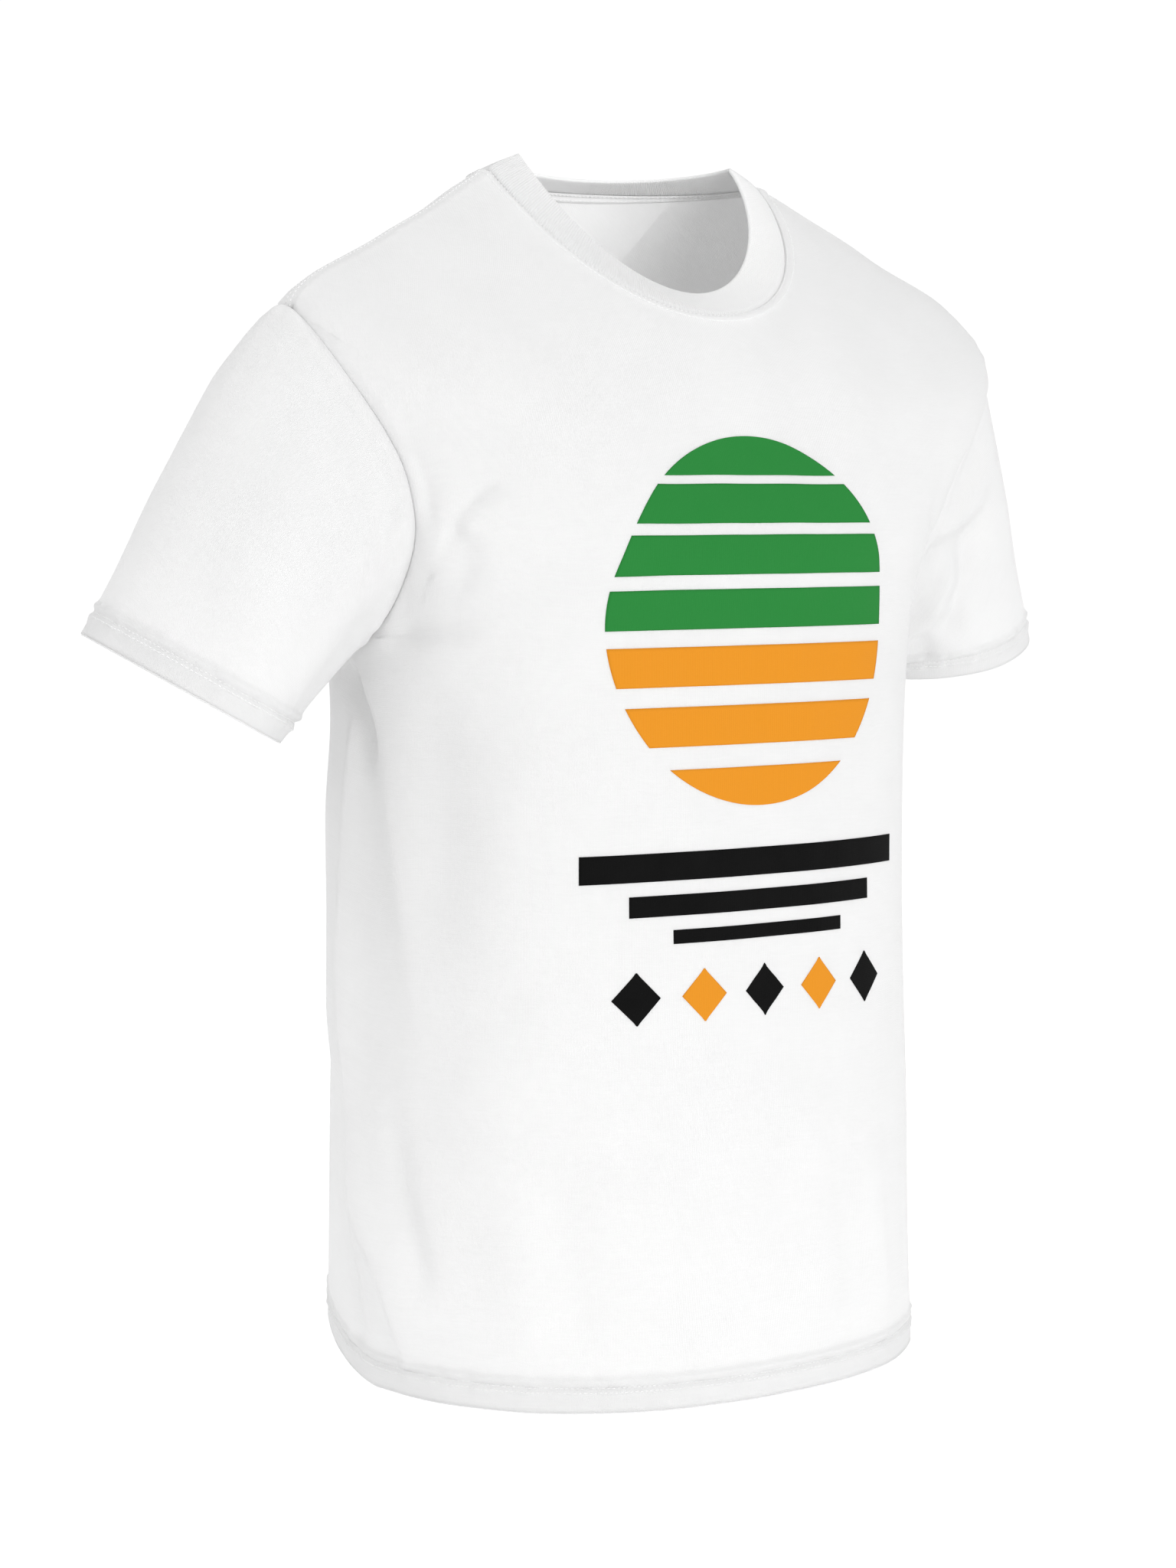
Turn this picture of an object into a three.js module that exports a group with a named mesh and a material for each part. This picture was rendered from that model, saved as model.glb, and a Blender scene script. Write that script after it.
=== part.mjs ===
// A crew-neck T-shirt with short sleeves, standing open as it does on an upright body.
//
// Millimetres, +Z up. The origin is the middle of the neck, level with the highest points of
// the shoulders. The front of the shirt is at -Y and the wearer's right arm is at -X.

import * as THREE from 'three';

// ---- Cloth -------------------------------------------------------------------------------

const PANEL_THICKNESS = 2;
const COLLAR_THICKNESS = 2.4;
const TURN_UP_THICKNESS = 1.2;
const TAPE_THICKNESS = 1;
const INK_THICKNESS = 0.5;
const LAYER_GAP = 0.5;
const SEAM_GAP = 0.5;

// ---- Body --------------------------------------------------------------------------------

// The body is a stack of rings that run from the hem up to the neck seam. Each ring has its
// half width, its depth before and behind the side line, the heights of its side, its front
// and its back, how far the side line lies before (-) or behind the middle of the neck, how
// late the height drops away from the side, and how square the ring is (2 is an ellipse).
const RING_NAMES = [
  'halfWidth', 'frontDepth', 'backDepth', 'side', 'front', 'back', 'shift', 'sag', 'squareness',
];
const RINGS = [
  [184, 142, 147, -699, -708, -655, 0, 1.0, 2.3],
  [186, 131, 139, -562, -570, -543, 0, 1.4, 2.3],
  [186, 125, 126, -410, -414, -402, 0, 1.7, 2.3],
  [194, 123, 120, -270, -282, -262, 0, 1.7, 2.3],
  [226, 125, 114, -172, -220, -186, -4, 1.4, 2.3],
  [256, 110, 102, -87, -163, -122, -20, 1.1, 2.3],
  [181, 98, 83, -42, -119, -60, -10, 1.1, 2.2],
  [103, 84, 58, 0, -86, -3, 0, 1.1, 2.1],
].map(namedRing);

// Levels say how far up the stack a point is: 0 at the hem, 1 at the underarm, 2 at the tip of
// the shoulder and 3 at the neck seam.
const RING_LEVELS = [0, 0.3, 0.65, 1, 1.5, 2, 2.5, 3];
const UNDERARM = 1;
const SHOULDER_TIP = 2;
const NECK_SEAM = 3;

// The shirt hangs a little lower on the wearer's right: its heights change by this much of x.
const SIDE_LEAN = 0.02;

// ---- Armholes, sleeves, collar and trim --------------------------------------------------

const ARMHOLE_FRONT_REACH = 60;
const ARMHOLE_BACK_REACH = 68;

// The opening of each sleeve, as if it were the left one: its middle and which way it faces.
const CUFFS = {
  right: { centre: [291, 38, -296], direction: [0.44, 0.26, -0.89] },
  left: { centre: [290, 36, -285], direction: [0.25, 0.19, -0.89] },
};
const CUFF_RADIUS = 64;
const CUFF_PULL = 1.15;
const SLEEVE_SIDES = { right: -1, left: 1 };
const SHOULDER_RUN = [69, 65, -8];
const SHOULDER_PULL = -0.37;

const COLLAR_EDGE = namedRing([82.5, 65.5, 41, 9, -73.5, 2, -2, 1.16, 1.95]);
const HEM_HEIGHT = 20;
const SLEEVE_HEM_HEIGHT = 20;
const NECK_TAPE_WIDTH = 8;
const NECK_TAPE_INSET = 1.5;

// ---- Print -------------------------------------------------------------------------------

const SUN_RADIUS = 106;
const SUN_HEIGHT = -264;
const SUN_STRIPES = 7;
const SUN_FIRST_GAP = 5;
const SUN_GAP_GROWTH = 1.6;
const GREEN_STRIPES = 4;
const BAR_TOP = -394;
const BARS = [
  { halfWidth: 120, height: 16 },
  { halfWidth: 92, height: 12 },
  { halfWidth: 64, height: 8 },
];
const BAR_GAP = 8;
const DIAMOND_COUNT = 5;
const DIAMOND_SPACING = 44;
const DIAMOND_SIZE = 15;
const DIAMOND_HEIGHT = -476;

// ---- Materials ---------------------------------------------------------------------------

const jersey = new THREE.MeshStandardMaterial({ color: 0xf2f2f1, roughness: 0.9, metalness: 0 });
const rib = new THREE.MeshStandardMaterial({ color: 0xeeeeed, roughness: 0.92, metalness: 0 });
const greenInk = new THREE.MeshStandardMaterial({ color: 0x2f873e, roughness: 0.7, metalness: 0 });
const orangeInk = new THREE.MeshStandardMaterial({ color: 0xe8962a, roughness: 0.7, metalness: 0 });
const blackInk = new THREE.MeshStandardMaterial({ color: 0x161616, roughness: 0.7, metalness: 0 });

// ---- Surfaces ----------------------------------------------------------------------------

function namedRing(values) {
  return Object.fromEntries(RING_NAMES.map((name, i) => [name, values[i]]));
}

// A smooth curve through one value of each ring, read at a level.
function ringValue(name, level) {
  const last = RINGS.length - 1;
  let i = 0;
  while (i < last - 1 && level > RING_LEVELS[i + 1]) {
    i += 1;
  }
  const slope = (k) => (RINGS[k + 1][name] - RINGS[k][name]) / (RING_LEVELS[k + 1] - RING_LEVELS[k]);
  const tangent = (k) => {
    if (k === 0) return slope(0);
    if (k === last) return slope(last - 1);
    const below = RING_LEVELS[k] - RING_LEVELS[k - 1];
    const above = RING_LEVELS[k + 1] - RING_LEVELS[k];
    return (slope(k - 1) * above + slope(k) * below) / (above + below);
  };
  const span = RING_LEVELS[i + 1] - RING_LEVELS[i];
  const ends = [RINGS[i][name], RINGS[i + 1][name]];
  return hermite((level - RING_LEVELS[i]) / span, ends[0], span * tangent(i), ends[1], span * tangent(i + 1));
}

function hermite(t, start, startTangent, end, endTangent) {
  const square = t * t;
  const cube = square * t;
  return (
    (2 * cube - 3 * square + 1) * start +
    (cube - 2 * square + t) * startTangent +
    (3 * square - 2 * cube) * end +
    (cube - square) * endTangent
  );
}

// A point of a ring. The turn is 0 at the wearer's left side, a quarter turn at the front.
function pointOnRing(ring, turn) {
  const across = Math.cos(turn);
  const fore = Math.sin(turn);
  const isFront = fore > 0;
  const roundness = 2 / ring.squareness;
  const drop = (isFront ? ring.front : ring.back) - ring.side;
  return new THREE.Vector3(
    ring.halfWidth * Math.sign(across) * Math.abs(across) ** roundness,
    (isFront ? -ring.frontDepth : ring.backDepth) * Math.abs(fore) ** roundness +
      ring.shift * across * across,
    ring.side + drop * Math.abs(fore) ** ring.sag,
  );
}

function bodyPoint(level, turn) {
  const values = RING_NAMES.map((name) => [name, ringValue(name, level)]);
  return pointOnRing(Object.fromEntries(values), turn);
}

// The turn at which a panel ends: at the side, at the armhole or at the shoulder seam.
function panelEdge(level, isFront) {
  const upArmhole = THREE.MathUtils.clamp(level - UNDERARM, 0, 1);
  const deepest = isFront ? ARMHOLE_FRONT_REACH : ARMHOLE_BACK_REACH;
  const reach = deepest * Math.sqrt(1 - (2 * upArmhole - 1) ** 2);
  const depth = ringValue(isFront ? 'frontDepth' : 'backDepth', level);
  return Math.asin((reach / depth) ** (ringValue('squareness', level) / 2));
}

function frontPanel(level, across) {
  const edge = panelEdge(level, true);
  return bodyPoint(level, edge + (Math.PI - 2 * edge) * across);
}

function backPanel(level, across) {
  const edge = panelEdge(level, false);
  return bodyPoint(level, Math.PI + edge + (Math.PI - 2 * edge) * across);
}

// The left armhole, round from the tip of the shoulder, down the front and up the back.
function armholePlace(turn) {
  const level = UNDERARM + (1 + Math.cos(turn)) / 2;
  const isFront = Math.sin(turn) > 0;
  return { level, turn: isFront ? panelEdge(level, true) : -panelEdge(level, false) };
}

function armholePoint(turn) {
  const place = armholePlace(turn);
  return bodyPoint(place.level, place.turn);
}

function cuffPoint(turn, cuff) {
  const direction = new THREE.Vector3(...cuff.direction).normalize();
  const outward = new THREE.Vector3(1, 0, 0).addScaledVector(direction, -direction.x).normalize();
  const forward = new THREE.Vector3().crossVectors(direction, outward);
  return new THREE.Vector3(...cuff.centre)
    .addScaledVector(outward, CUFF_RADIUS * Math.cos(turn))
    .addScaledVector(forward, CUFF_RADIUS * Math.sin(turn));
}

// A sleeve, as if it were the left one, from its armhole to its cuff. Over the top it leaves
// the shoulder level and then falls.
function sleevePoint(along, turn, cuff) {
  const start = armholePoint(turn);
  const end = cuffPoint(turn, cuff);
  const run = end.clone().sub(start);
  const overTop = ((1 + Math.cos(turn)) / 2) ** 1.5;
  const leave = run.clone().multiplyScalar(SHOULDER_PULL).add(new THREE.Vector3(...SHOULDER_RUN));
  leave.lerp(run, 1 - overTop);
  const arrive = run.clone().multiplyScalar(THREE.MathUtils.lerp(1, CUFF_PULL, overTop));
  const at = (axis) => hermite(along, start[axis], leave[axis], end[axis], arrive[axis]);
  return new THREE.Vector3(at('x'), at('y'), at('z'));
}

function collarPoint(up, turn) {
  return bodyPoint(NECK_SEAM, turn).lerp(pointOnRing(COLLAR_EDGE, turn), up);
}

// The point of the front that has a given x and height.
function frontPoint(x, height) {
  const turnAt = (level) => {
    const part = Math.abs(x) / ringValue('halfWidth', level);
    return Math.acos(Math.sign(x) * part ** (ringValue('squareness', level) / 2));
  };
  let low = 0;
  let high = NECK_SEAM;
  for (let step = 0; step < 30; step += 1) {
    const middle = (low + high) / 2;
    if (bodyPoint(middle, turnAt(middle)).z < height) low = middle;
    else high = middle;
  }
  return bodyPoint(low, turnAt(low));
}

// The unit normal of a surface, from its slopes either way. The sign makes it point outward.
function normalOf(surface, u, v, sign) {
  const step = 1e-3;
  const alongU = surface(u + step, v).sub(surface(u - step, v));
  const alongV = surface(u, v + step).sub(surface(u, v - step));
  return alongU.cross(alongV).multiplyScalar(sign).normalize();
}

function bodyNormal(level, turn) {
  return normalOf(bodyPoint, THREE.MathUtils.clamp(level, 2e-3, NECK_SEAM - 2e-3), turn, 1);
}

function collarNormal(turn) {
  return normalOf(collarPoint, 0.5, turn, 1);
}

function sleeveNormal(along, turn, cuff) {
  const surface = (u, v) => sleevePoint(u, v, cuff);
  return normalOf(surface, THREE.MathUtils.clamp(along, 2e-3, 1 - 2e-3), turn, -1);
}

// The normals of the body and of a sleeve where they meet, as if it were the left one. At an outward bend both
// take the bisector, so that their solids share one face. At an inward bend each keeps its own.
function armholeNormals(turn, cuff) {
  const place = armholePlace(turn);
  const body = bodyNormal(place.level, place.turn);
  const sleeve = sleeveNormal(0, turn, cuff);
  const leaves = sleevePoint(0.05, turn, cuff).sub(sleevePoint(0, turn, cuff)).normalize();
  const bend = THREE.MathUtils.clamp(-4 * body.dot(leaves), 0, 1);
  return {
    body: body.clone().addScaledVector(sleeve, bend).normalize(),
    sleeve: sleeve.clone().addScaledVector(body, bend).normalize(),
  };
}

// ---- Solids ------------------------------------------------------------------------------

// A closed sheet of cloth. Rows of points give its outer face, their normals point outward,
// and its inner face lies one thickness in. A ring joins its last column to its first.
function clothGeometry(points, normals, thickness, isRing) {
  const rowCount = points.length;
  const columnCount = points[0].length;
  const faces = [points, sink(points, normals, thickness)];
  const positions = faces.flat(2).flatMap(({ x, y, z }) => [x, y, z + SIDE_LEAN * x]);
  const triangles = [];
  const addQuad = (...corners) => {
    const [a, b, c, d] = corners.map(([face, row, column]) =>
      (face * rowCount + row) * columnCount + (column % columnCount));
    triangles.push(a, b, c, a, c, d);
  };
  const top = rowCount - 1;
  const end = columnCount - 1;
  for (let column = 0; column < (isRing ? columnCount : end); column += 1) {
    const next = column + 1;
    for (let row = 0; row < top; row += 1) {
      addQuad([0, row, column], [0, row + 1, column], [0, row + 1, next], [0, row, next]);
      addQuad([1, row, next], [1, row + 1, next], [1, row + 1, column], [1, row, column]);
    }
    addQuad([0, 0, column], [0, 0, next], [1, 0, next], [1, 0, column]);
    addQuad([0, top, next], [0, top, column], [1, top, column], [1, top, next]);
  }
  for (let row = 0; row < top && !isRing; row += 1) {
    addQuad([0, row + 1, 0], [0, row, 0], [1, row, 0], [1, row + 1, 0]);
    addQuad([0, row, end], [0, row + 1, end], [1, row + 1, end], [1, row, end]);
  }
  const geometry = new THREE.BufferGeometry();
  geometry.setAttribute('position', new THREE.Float32BufferAttribute(positions, 3));
  geometry.setIndex(signedVolume(positions, triangles) < 0 ? triangles.reverse() : triangles);
  return geometry;
}

function signedVolume(positions, triangles) {
  const corner = (k) => new THREE.Vector3().fromArray(positions, 3 * triangles[k]);
  let volume = 0;
  for (let k = 0; k < triangles.length; k += 3) {
    volume += corner(k).dot(corner(k + 1).cross(corner(k + 2))) / 6;
  }
  return volume;
}

// Draws the chosen borders of a sheet back from its neighbours.
function drawBack(points, { rows = [], columns = [] }) {
  const shift = (edge, inside) => edge.addScaledVector(inside.clone().sub(edge).normalize(), SEAM_GAP);
  for (const [border, next] of rows) {
    points[border].forEach((point, column) => shift(point, points[next][column]));
  }
  for (const [border, next] of columns) {
    points.forEach((row) => shift(row[border], row[next]));
  }
}

function sink(points, normals, depth) {
  return points.map((row, r) => row.map((point, c) => point.clone().addScaledVector(normals[r][c], -depth)));
}

function steps(count, isRing = false) {
  return Array.from({ length: isRing ? count : count + 1 }, (_, i) => i / count);
}

const shirt = new THREE.Group();

function addMesh(name, geometry, material) {
  const mesh = new THREE.Mesh(geometry, material);
  mesh.name = name;
  shirt.add(mesh);
}

// ---- Body panels -------------------------------------------------------------------------

const BODY_ROWS = 8;
const ARMHOLE_ROWS = 12;
const SHOULDER_ROWS = 7;
const BODY_COLUMNS = 24;
const SLEEVE_ROWS = 7;
const SLEEVE_COLUMNS = 2 * ARMHOLE_ROWS;

// The armhole's rows are even round its curve, so they meet the sleeve's columns corner to corner.
const panelLevels = [
  ...steps(BODY_ROWS),
  ...steps(ARMHOLE_ROWS).slice(1).map((step) => UNDERARM + (1 - Math.cos(Math.PI * step)) / 2),
  ...steps(SHOULDER_ROWS).slice(1).map((step) => SHOULDER_TIP + step),
];

// The normal at a panel's edge. Beside an armhole it is the one worked out with the sleeve.
function panelEdgeNormal(level, turn) {
  if (level < UNDERARM || level > SHOULDER_TIP) return bodyNormal(level, turn);
  const roundArmhole = Math.acos(2 * (level - UNDERARM) - 1) * Math.sign(Math.sin(turn));
  const side = Math.sign(Math.cos(turn));
  const normal = armholeNormals(roundArmhole, side > 0 ? CUFFS.left : CUFFS.right).body;
  normal.x *= side;
  return normal;
}

function panel(isFront) {
  const surface = isFront ? frontPanel : backPanel;
  const across = steps(BODY_COLUMNS);
  const points = panelLevels.map((level) => across.map((part) => surface(level, part)));
  const normals = panelLevels.map((level) => across.map((part) => {
    const edge = panelEdge(level, isFront);
    const turn = (isFront ? 0 : Math.PI) + edge + (Math.PI - 2 * edge) * part;
    if (level === NECK_SEAM) return bodyNormal(level, turn).add(collarNormal(turn)).normalize();
    return part === 0 || part === 1 ? panelEdgeNormal(level, turn) : bodyNormal(level, turn);
  }));
  drawBack(points, {
    rows: [[panelLevels.length - 1, panelLevels.length - 2]],
    columns: [[0, 1], [BODY_COLUMNS, BODY_COLUMNS - 1]],
  });
  return clothGeometry(points, normals, PANEL_THICKNESS, false);
}

addMesh('front_panel', panel(true), jersey);
addMesh('back_panel', panel(false), jersey);

// ---- Sleeves -----------------------------------------------------------------------------

function acrossTo(side, rows) {
  return rows.map((row) => row.map((vector) => new THREE.Vector3(side * vector.x, vector.y, vector.z)));
}

function sleeve(side, cuff) {
  const turns = steps(SLEEVE_COLUMNS, true).map((part) => 2 * Math.PI * part);
  const alongs = steps(SLEEVE_ROWS);
  const points = alongs.map((along) => turns.map((turn) => sleevePoint(along, turn, cuff)));
  const normalAt = (along, turn) =>
    (along > 0 ? sleeveNormal(along, turn, cuff) : armholeNormals(turn, cuff).sleeve);
  const normals = alongs.map((along) => turns.map((turn) => normalAt(along, turn)));
  drawBack(points, { rows: [[0, 1]] });
  return clothGeometry(acrossTo(side, points), acrossTo(side, normals), PANEL_THICKNESS, true);
}

// The hem of a sleeve is turned up inside it.
function sleeveHem(side, cuff) {
  const turns = steps(SLEEVE_COLUMNS, true).map((part) => 2 * Math.PI * part);
  const hemPart = SLEEVE_HEM_HEIGHT / sleevePoint(0, 0, cuff).distanceTo(sleevePoint(1, 0, cuff));
  const alongs = [1 - hemPart, 1 - hemPart / 2, 1];
  const points = alongs.map((along) => turns.map((turn) => sleevePoint(along, turn, cuff)));
  const normals = alongs.map((along) => turns.map((turn) => sleeveNormal(along, turn, cuff)));
  const inside = acrossTo(side, sink(points, normals, PANEL_THICKNESS + LAYER_GAP));
  return clothGeometry(inside, acrossTo(side, normals), TURN_UP_THICKNESS, true);
}

for (const [name, side] of Object.entries(SLEEVE_SIDES)) {
  addMesh(`${name}_sleeve`, sleeve(side, CUFFS[name]), jersey);
  addMesh(`${name}_sleeve_hem`, sleeveHem(side, CUFFS[name]), jersey);
}

// ---- Collar, hem and neck tape -----------------------------------------------------------

const COLLAR_COLUMNS = 56;
const HEM_COLUMNS = 48;
const TAPE_COLUMNS = 18;

function collar() {
  const turns = steps(COLLAR_COLUMNS, true).map((part) => 2 * Math.PI * part);
  const ups = steps(2);
  const points = ups.map((up) => turns.map((turn) => collarPoint(up, turn)));
  const normals = ups.map((up) => turns.map((turn) => {
    const own = collarNormal(turn);
    return up > 0 ? own : own.add(bodyNormal(NECK_SEAM, turn)).normalize();
  }));
  drawBack(points, { rows: [[0, 1]] });
  return clothGeometry(points, normals, COLLAR_THICKNESS, true);
}

function bodyHem() {
  const turns = steps(HEM_COLUMNS, true).map((part) => 2 * Math.PI * part);
  const hemLevel = (HEM_HEIGHT / (RINGS[1].side - RINGS[0].side)) * RING_LEVELS[1];
  const levels = [0, hemLevel / 2, hemLevel];
  const points = levels.map((level) => turns.map((turn) => bodyPoint(level, turn)));
  const normals = levels.map((level) => turns.map((turn) => bodyNormal(level, turn)));
  return clothGeometry(sink(points, normals, PANEL_THICKNESS + LAYER_GAP), normals, TURN_UP_THICKNESS, true);
}

// The tape covers the back neck seam from shoulder to shoulder, inside the back panel.
function neckTape() {
  const turns = steps(TAPE_COLUMNS).map((part) => Math.PI * (1.04 + 0.92 * part));
  const slope = bodyPoint(NECK_SEAM, 1.5 * Math.PI).distanceTo(bodyPoint(NECK_SEAM - 0.1, 1.5 * Math.PI));
  const levelFor = (width) => NECK_SEAM - (0.1 * width) / slope;
  const levels = [levelFor(NECK_TAPE_INSET + NECK_TAPE_WIDTH), levelFor(NECK_TAPE_INSET)];
  const points = levels.map((level) => turns.map((turn) => bodyPoint(level, turn)));
  const normals = levels.map((level) => turns.map((turn) => bodyNormal(level, turn)));
  return clothGeometry(sink(points, normals, PANEL_THICKNESS + LAYER_GAP), normals, TAPE_THICKNESS, false);
}

addMesh('collar', collar(), rib);
addMesh('body_hem', bodyHem(), jersey);
addMesh('neck_tape', neckTape(), jersey);

// ---- Print: a striped sun over bars and diamonds -----------------------------------------

// A patch of ink lies on the front between a left and a right edge, for each of its heights.
function addInk(name, heights, halfWidthAt, centre, columnCount, material) {
  const place = (height, part) => [centre + halfWidthAt(height) * (2 * part - 1), height];
  const across = steps(columnCount);
  const points = heights.map((height) => across.map((part) => frontPoint(...place(height, part))));
  const normals = heights.map((height) => across.map((part) => {
    const [x, z] = place(height, part);
    return normalOf(frontPoint, x, z, 1);
  }));
  const raised = sink(points, normals, -(LAYER_GAP + INK_THICKNESS));
  addMesh(name, clothGeometry(raised, normals, INK_THICKNESS, false), material);
}

function sunStripes() {
  const gaps = steps(SUN_STRIPES - 2).map((_, i) => SUN_FIRST_GAP + SUN_GAP_GROWTH * i);
  const inked = 2 * SUN_RADIUS - gaps.reduce((sum, gap) => sum + gap, 0);
  const stripeHeight = inked / SUN_STRIPES;
  let top = SUN_HEIGHT + SUN_RADIUS;
  for (let i = 0; i < SUN_STRIPES; i += 1) {
    const bottom = top - stripeHeight;
    const heights = steps(3).map((part) => THREE.MathUtils.lerp(bottom, top, part));
    const halfWidthAt = (height) => Math.sqrt(Math.max(SUN_RADIUS ** 2 - (height - SUN_HEIGHT) ** 2, 30));
    const material = i < GREEN_STRIPES ? greenInk : orangeInk;
    addInk(`sun_stripe_${i + 1}`, heights, halfWidthAt, 0, 12, material);
    top = bottom - gaps[i];
  }
}

function bars() {
  let top = BAR_TOP;
  BARS.forEach(({ halfWidth, height }, i) => {
    addInk(`bar_${i + 1}`, [top - height, top], () => halfWidth, 0, 14, blackInk);
    top -= height + BAR_GAP;
  });
}

function diamonds() {
  for (let i = 0; i < DIAMOND_COUNT; i += 1) {
    const centre = (i - (DIAMOND_COUNT - 1) / 2) * DIAMOND_SPACING;
    const heights = steps(4).map((part) => DIAMOND_HEIGHT + DIAMOND_SIZE * (2 * part - 1));
    const halfWidthAt = (height) => Math.max(DIAMOND_SIZE - Math.abs(height - DIAMOND_HEIGHT), 0.8);
    addInk(`diamond_${i + 1}`, heights, halfWidthAt, centre, 2, i % 2 ? orangeInk : blackInk);
  }
}

sunStripes();
bars();
diamonds();

export default shirt;
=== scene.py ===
"""A white crew-neck T-shirt with short sleeves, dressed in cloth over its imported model.

Everything is in metres, with +Z up. The origin is the middle of the neck, level with the
highest points of the shoulders. The front of the shirt is at -Y, and the wearer's right
arm is at -X. The shirt stands open, as it does on an upright body.
"""

import math

import bpy
import numpy as np
from bpy.props import FloatProperty, FloatVectorProperty, IntProperty, PointerProperty
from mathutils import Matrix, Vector, noise


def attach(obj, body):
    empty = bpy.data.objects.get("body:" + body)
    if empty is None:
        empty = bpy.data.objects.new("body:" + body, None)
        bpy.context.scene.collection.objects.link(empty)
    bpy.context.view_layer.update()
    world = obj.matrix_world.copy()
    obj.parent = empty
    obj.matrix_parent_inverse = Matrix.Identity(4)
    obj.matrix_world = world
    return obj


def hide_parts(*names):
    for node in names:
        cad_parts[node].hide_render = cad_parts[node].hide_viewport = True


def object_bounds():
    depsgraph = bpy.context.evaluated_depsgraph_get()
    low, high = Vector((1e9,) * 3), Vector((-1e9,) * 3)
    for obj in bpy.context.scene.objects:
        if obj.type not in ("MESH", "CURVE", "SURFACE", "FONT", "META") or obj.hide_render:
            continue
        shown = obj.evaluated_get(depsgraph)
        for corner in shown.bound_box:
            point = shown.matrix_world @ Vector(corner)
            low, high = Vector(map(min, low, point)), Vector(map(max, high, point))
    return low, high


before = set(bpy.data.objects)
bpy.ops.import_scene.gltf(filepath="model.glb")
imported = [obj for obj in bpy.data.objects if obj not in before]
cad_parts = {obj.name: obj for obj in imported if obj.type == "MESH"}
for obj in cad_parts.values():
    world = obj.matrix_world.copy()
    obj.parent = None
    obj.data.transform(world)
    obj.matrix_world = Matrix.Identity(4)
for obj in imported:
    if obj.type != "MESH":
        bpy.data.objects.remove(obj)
CAD_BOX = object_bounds()
BODY = "root"

bl_info = {
    "name": "Crew-neck T-shirt",
    "version": (1, 0, 0),
    "blender": (4, 5, 0),
    "location": "3D View > Sidebar > T-shirt",
    "description": "Makes a white crew-neck T-shirt with ribbed collar, stitching and a print",
    "category": "Add Mesh",
}

# ---- Shape and fixed sizes -----------------------------------------------------------------

# The body is a stack of rings that run from the hem up to the neck seam. Levels say how far
# up the stack a point is: 0 at the hem, 1 at the underarm, 2 at the tip of the shoulder and 3
# at the neck seam. Turns go round a ring: 0 at the wearer's left, a quarter at the front.
RING_LEVELS = np.array([0, 0.3, 0.65, 1, 1.5, 2, 2.5, 3])
UNDERARM = 1
SHOULDER_TIP = 2
NECK_SEAM = 3

# Half width, depth before and behind the side line, heights of the side, the front and the
# back, how far the side line lies before (-) or behind the middle of the neck, how late the
# height drops away from the side, and how square the ring is (2 is an ellipse).
HALF_WIDTH, FRONT_DEPTH, BACK_DEPTH, SIDE, FRONT, BACK, SHIFT, SAG, SQUARENESS = range(9)
RINGS = np.array([
    (0.184, 0.142, 0.147, -0.699, -0.708, -0.655, 0.000, 1.0, 2.3),
    (0.186, 0.131, 0.139, -0.562, -0.570, -0.543, 0.000, 1.4, 2.3),
    (0.186, 0.125, 0.126, -0.410, -0.414, -0.402, 0.000, 1.7, 2.3),
    (0.194, 0.123, 0.120, -0.270, -0.282, -0.262, 0.000, 1.7, 2.3),
    (0.226, 0.125, 0.114, -0.172, -0.220, -0.186, -0.004, 1.4, 2.3),
    (0.256, 0.110, 0.102, -0.087, -0.163, -0.122, -0.020, 1.1, 2.3),
    (0.181, 0.098, 0.083, -0.042, -0.119, -0.060, -0.010, 1.1, 2.2),
    (0.103, 0.084, 0.058, 0.000, -0.086, -0.003, 0.000, 1.1, 2.1),
])
# The free edge of the collar, as one more such ring.
COLLAR_EDGE = np.array([0.0825, 0.0655, 0.041, 0.009, -0.0735, 0.002, -0.002, 1.16, 1.95])

# How far each armhole reaches before and behind the side line.
ARMHOLE_REACH = {"front": 0.060, "back": 0.068}

# The opening of each sleeve, as if it were the left one: its middle and which way it faces.
CUFFS = {
    "right": (np.array([0.291, 0.038, -0.296]), np.array([0.44, 0.26, -0.89])),
    "left": (np.array([0.290, 0.036, -0.285]), np.array([0.25, 0.19, -0.89])),
}
CUFF_RADIUS = 0.064

# How a sleeve sets off over its top from the shoulder, how narrowly that keeps to the top,
# and how straight the sleeve comes to its cuff.
SHOULDER_RUN = np.array([0.069, 0.065, -0.008])
SHOULDER_PULL = -0.37
SHOULDER_FOCUS = 1.5
CUFF_PULL = 1.15

# Which way each sleeve lies along X.
SLEEVE_SIDES = {"right": -1, "left": 1}

# The shirt hangs a little lower on the wearer's right: its heights change by this much of x.
SIDE_LEAN = 0.02

# The share of its length over which a fold fades in or out.
FOLD_END = 0.3

# Folds fade out this close to a seam, and a seam's relief ends this far from it.
SEAM_FADE = 0.010
SEAM_REACH = 0.035

# The cloth is drawn in to an armhole by a depth, over a width.
SEAM_DEPTH = 0.0008
SEAM_WIDTH = 0.0015

# The puckers along a seam are the sum of a few even waves, by their rates and weights.
RIPPLE_RATES = (1, 0.61, 1.63, 0.29)
RIPPLE_WEIGHTS = (0.4, 0.3, 0.2, 0.25)

# Rows of stitches, by how far they lie from the edge, and the ridge that stands over them.
HEM_ROWS = (0.0112, 0.0140)
HEM_RIDGE = 0.0176

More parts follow.
